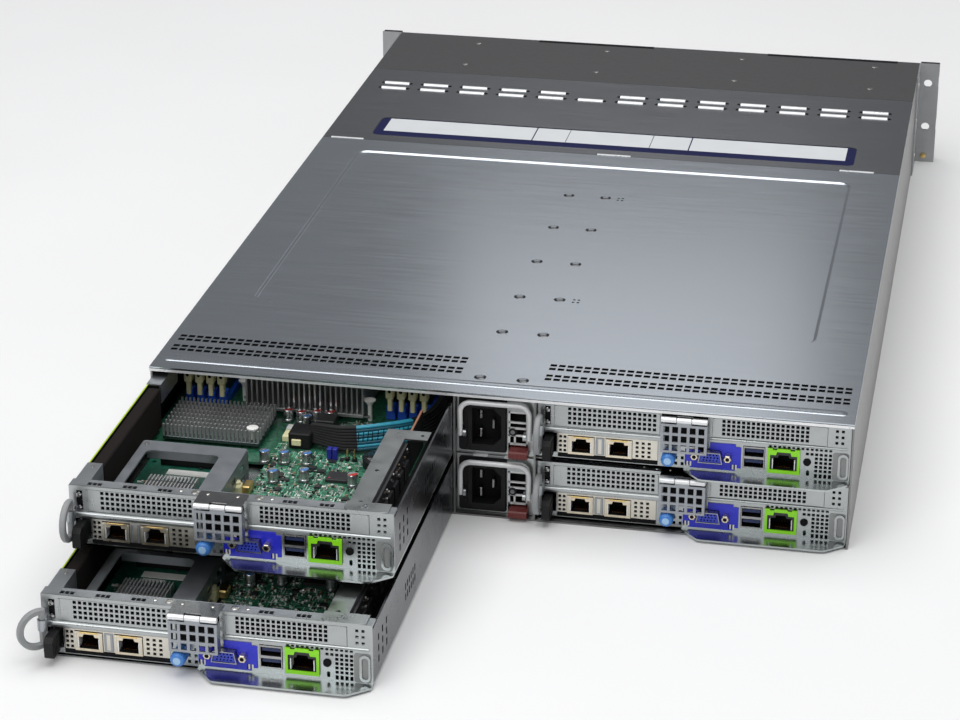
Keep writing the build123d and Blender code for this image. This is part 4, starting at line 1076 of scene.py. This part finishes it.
def fan_cover(part):
    lo, hi = mm_box("fan_cover")
    y0, y1 = lo.y, hi.y
    holes = []
    for i in range(BRIDGE_COLUMNS):
        x = BRIDGE_REACH - 2 * BRIDGE_REACH * i / (BRIDGE_COLUMNS - 1)
        for j, offset in enumerate(BRIDGE_ROWS):
            if (i, j) == (5, 0):
                continue
            y = y0 + offset
            for end in (x - 11.4, x + 11.4):
                holes.append(rounded(end - 1.5, end + 1.5, y - 1.8, y + 1.8, 1.0, 3))
            arch = []
            for k in range(9):
                turn = math.pi * k / 8
                arch.append((y + 2.1 * math.cos(turn), TOP_Z - 0.1 + 1.25 * math.sin(turn)))
            part.loft([[(x + end, b, c) for b, c in arch] for end in (-10.2, 10.2)], bright_plate_and_highlight)
    label = rounded(-LABEL_HALF, LABEL_HALF, y1 - LABEL_FRONT, y1 - LABEL_REAR, 6.0, 6)
    # The fan cover and its label recess are a darker copy of the cover zinc: painted shade towards the
    # front.
    part.plate("z", rect(-HALF_W, HALF_W, y0, y1), holes + [label], COVER_Z, TOP_Z, fan_cover_shaded_zinc)
    part.plate("z", label, [], COVER_Z, TOP_Z - LABEL_SUNK, fan_cover_shaded_zinc)


def label_plate(part):
    """A printed plate in the recess, left blank: border, white fields and thin rules."""
    y1 = mm_box("fan_cover")[1].y
    half = LABEL_HALF - LABEL_GAP
    front, rear = y1 - LABEL_FRONT + LABEL_GAP, y1 - LABEL_REAR - LABEL_GAP
    low, high = TOP_Z - LABEL_SUNK, TOP_Z - 0.2
    part.plate("z", rounded(-half, half, front, rear, 5.6, 6), [], low, high, navy)
    for a, b in ((-half + 7, -61), (-60, 62), (63, half - 7)):
        part.plate("z", rect(a, b, y1 - 53.2, y1 - 24), [], high, high + 0.1, paper)
    for x in (-30, 36):
        part.box(x - 0.3, x + 0.3, y1 - 53.2, y1 - 24, high + 0.1, high + 0.14, rule_grey)


def drive_bay_top(part):
    lo, hi = mm_box("drive_bay_top")
    part.plate("z", rect(lo.x, hi.x, lo.y, hi.y), [], lo.z, hi.z, dark_paint)
    for x, y in ((152, -345), (152, -286), (40, -345), (40, -286), (-76, -345), (-76, -286),
                 (-188, -345), (-188, -286)):
        screw_head(part, x, y, TOP_Z, 2.4, nickel)
    for a, b in ((2, 102), (-206, -96)):
        part.box(a, b, lo.y + 0.4, lo.y + 5, hi.z, hi.z + 0.3, black_and_shade_fill, 0.1)


CARRIER_COUNT = 24
CARRIER_GAP = 0.8
carrier_lo, carrier_hi = mm_box("drive_carriers")
CARRIER_PITCH = (carrier_hi.x - carrier_lo.x + CARRIER_GAP) / CARRIER_COUNT


def drive_carrier(face):
    """One carrier: body, slotted front, lever and release catch."""
    part = Part()
    half = (CARRIER_PITCH - CARRIER_GAP) / 2
    low, high = carrier_lo.z, carrier_hi.z
    depth = carrier_hi.y - carrier_lo.y
    part.box(-half, half, 7.0, depth, low, high, zinc_dull, 0.4)
    slots = grid(-3.6, 3.6, 3, low + 42, high - 8, 8, 2.2, 2.6)
    lever = rounded(-half + 2.2, half - 2.2, low + 15, low + 37, 2.0, 4)
    edge = rounded(-half, half, low, high, 1.0, 3)
    part.plate("y", edge, slots + [lever], 0.6, 3.0, face)
    # A black block behind the front: painted shade inside the carrier.
    part.box(-half + 0.4, half - 0.4, 3.0, 7.0, low + 0.4, high - 0.4, black_and_shade_fill)
    lever_face = rounded(-half + 2.6, half - 2.6, low + 15.4, low + 36.6, 1.8, 4)
    part.plate("y", lever_face, [], 1.0, 3.0, face)
    part.box(-half + 3.4, half - 3.4, 0.2, 1.2, low + 30, low + 35, latch_red, 0.4)
    part.box(-half + 3.0, half - 3.0, 0.0, 1.2, low + 16.5, low + 19, face, 0.3)
    for x in (-2.6, 2.6):
        part.rod("y", x, low + 7, 1.0, 0.4, 0.75, white, 12)
    return part


def build_carriers():
    grey_mesh = drive_carrier(ear_paint).mesh("carrier_grey")
    black_mesh = drive_carrier(black).mesh("carrier_black")
    for i in range(CARRIER_COUNT):
        x = carrier_lo.x - CARRIER_GAP / 2 + CARRIER_PITCH * (i + 0.5)
        data = black_mesh if (i // 6) % 2 == 0 else grey_mesh
        nodes = ["drive_carriers"] if i == 0 else []
        put(data, f"drive_carrier_{i + 1}", "chassis", (x, carrier_lo.y, 0), nodes)


def control_panels(part):
    lo, hi = mm_box("control_panels")
    for side in (-1, 1):
        x0, x1 = side * (HALF_W + 1), side * hi.x
        holes_z = (31.5, 69.9)
        edge = [(x0, lo.z), (x1, lo.z)]
        for z in holes_z:
            edge += [(x1, z - 5.4), (side * (hi.x - 14.1), z - 5.4), (side * (hi.x - 14.1), z + 5.4),
                     (x1, z + 5.4)]
        edge += [(x1, hi.z), (x0, hi.z)]
        part.plate("y", edge, [], lo.y + 0.8, hi.y, black)
        part.box(side * (hi.x - 12.5), side * (hi.x - 3.5), lo.y, lo.y + 0.9, 41, 60, chip, 0.4)
        for k in range(4):
            part.rod("y", side * (hi.x - 8), 44 + 4.2 * k, 0.9, lo.y, lo.y + 0.3, white, 12)
        part.box(side * (hi.x - 12), side * (hi.x - 3), lo.y + 0.3, lo.y + 1, 10, 18, grey, 0.4)


def ear_screws(part):
    lo, hi = mm_box("rack_ears")
    for side in (-1, 1):
        x = side * (hi.x - 9)
        part.turned("y", x, 5.5, [(2.6, lo.y + 1.9), (2.6, lo.y + 3.2), (1.6, lo.y + 3.8)], brass, 6)
        head = [(r, side * (HALF_W + out)) for r, out in ((2.2, 1.1), (2.2, 1.6), (1.2, 1.9))]
        for z in (14, 45, 76):
            part.turned("x", FRONT_Y + 28, z, head, nickel, 14)


def cage_tabs(part):
    """Spring tabs of the cage above each supply."""
    for supply in SUPPLY_NAMES:
        z = mm_box(supply + "_case")[1].z + 0.1
        for a, b in ((5, 14), (-16, -6)):
            part.box(a, b, REAR_Y - 8, REAR_Y - 2.2, z, z + 0.16, bright_plate_and_highlight)


def build_chassis():
    pieces = (("rear_cover", rear_cover, "cover_steel", ["rear_cover"]),
              ("fan_cover", fan_cover, "cover_steel", ["fan_cover"]),
              ("label_plate", label_plate, "cover_steel", []),
              ("drive_bay_top", drive_bay_top, "cover_dark", ["drive_bay_top"]),
              ("control_panels", control_panels, "black_plastic", ["control_panels"]),
              ("ear_screws", ear_screws, "ear_metal", []),
              ("cage_tabs", cage_tabs, "chassis_steel", []))
    for name, draw, slot, nodes in pieces:
        put(drawn(draw, name), name + "_look", "chassis", (0, 0, 0), nodes)
    build_carriers()
    looks = {"chassis_tub": tub_steel, "psu_cage": tub_steel, "rack_ears": ear_paint,
             "backplanes": board_green, "fan_modules": black}
    for node, look in looks.items():
        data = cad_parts[node].data
        data.materials.clear()
        data.materials.append(look)


# Floor, light and camera

CAMERA_AT = (-300.9, 1918.4, 811.5)
AZIMUTH = math.radians(191.29)
ELEVATION = math.radians(23.91)
LENS = 104.36


def floor():
    data = bpy.data.meshes.new("floor")
    reach = 14.0
    data.from_pydata([(-reach, -reach, 0), (reach, -reach, 0), (reach, reach, 0), (-reach, reach, 0)],
                     [], [(0, 1, 2, 3)])
    obj = bpy.data.objects.new("floor", data)
    bpy.context.scene.collection.objects.link(obj)
    data.materials.append(material("floor_white", (0.88, 0.88, 0.88), 0.7, 0, 0.01, 3))


def area_light(name, at, to, size, power):
    data = bpy.data.lights.new(name, "AREA")
    data.shape = "RECTANGLE"
    data.size, data.size_y = size
    data.energy = power
    obj = bpy.data.objects.new(name, data)
    obj.location = at
    obj.rotation_mode = "QUATERNION"
    obj.rotation_quaternion = (Vector(to) - Vector(at)).to_track_quat("-Z", "Y")
    bpy.context.scene.collection.objects.link(obj)


def light():
    world = bpy.data.worlds.new("studio")
    world.use_nodes = True
    back = world.node_tree.nodes["Background"]
    back.inputs["Color"].default_value = (0.95, 0.97, 1.0, 1)
    back.inputs["Strength"].default_value = 0.21
    bpy.context.scene.world = world
    area_light("overhead", (0.0, 0.3, 3.2), (0, 0.3, 0), (4.2, 4.2), 120)
    area_light("key", (1.0, 2.6, 2.0), (0, 0.3, 0), (1.6, 1.2), 16)
    area_light("low_fill", (0.5, 3.0, 1.5), (0.1, 0.3, 0.05), (1.6, 0.9), 8)
    area_light("band", (0.40, -3.0, 2.02), (0.2, 0.1, 0.09), (0.75, 1.3), 2.0)


def camera():
    data = bpy.data.cameras.new("camera")
    data.sensor_width = 36
    data.lens = LENS
    data.clip_start, data.clip_end = 0.05, 60
    obj = bpy.data.objects.new("camera", data)
    back = Vector((math.sin(AZIMUTH) * math.cos(ELEVATION), -math.cos(AZIMUTH) * math.cos(ELEVATION),
                   math.sin(ELEVATION)))
    obj.location = Vector(CAMERA_AT) * MM
    obj.rotation_mode = "QUATERNION"
    obj.rotation_quaternion = (-back).to_track_quat("-Z", "Y")
    bpy.context.scene.collection.objects.link(obj)
    bpy.context.scene.camera = obj


build_sleds()
build_supplies()
build_chassis()
floor()
light()
camera()
bpy.context.scene.view_settings.view_transform = "Standard"
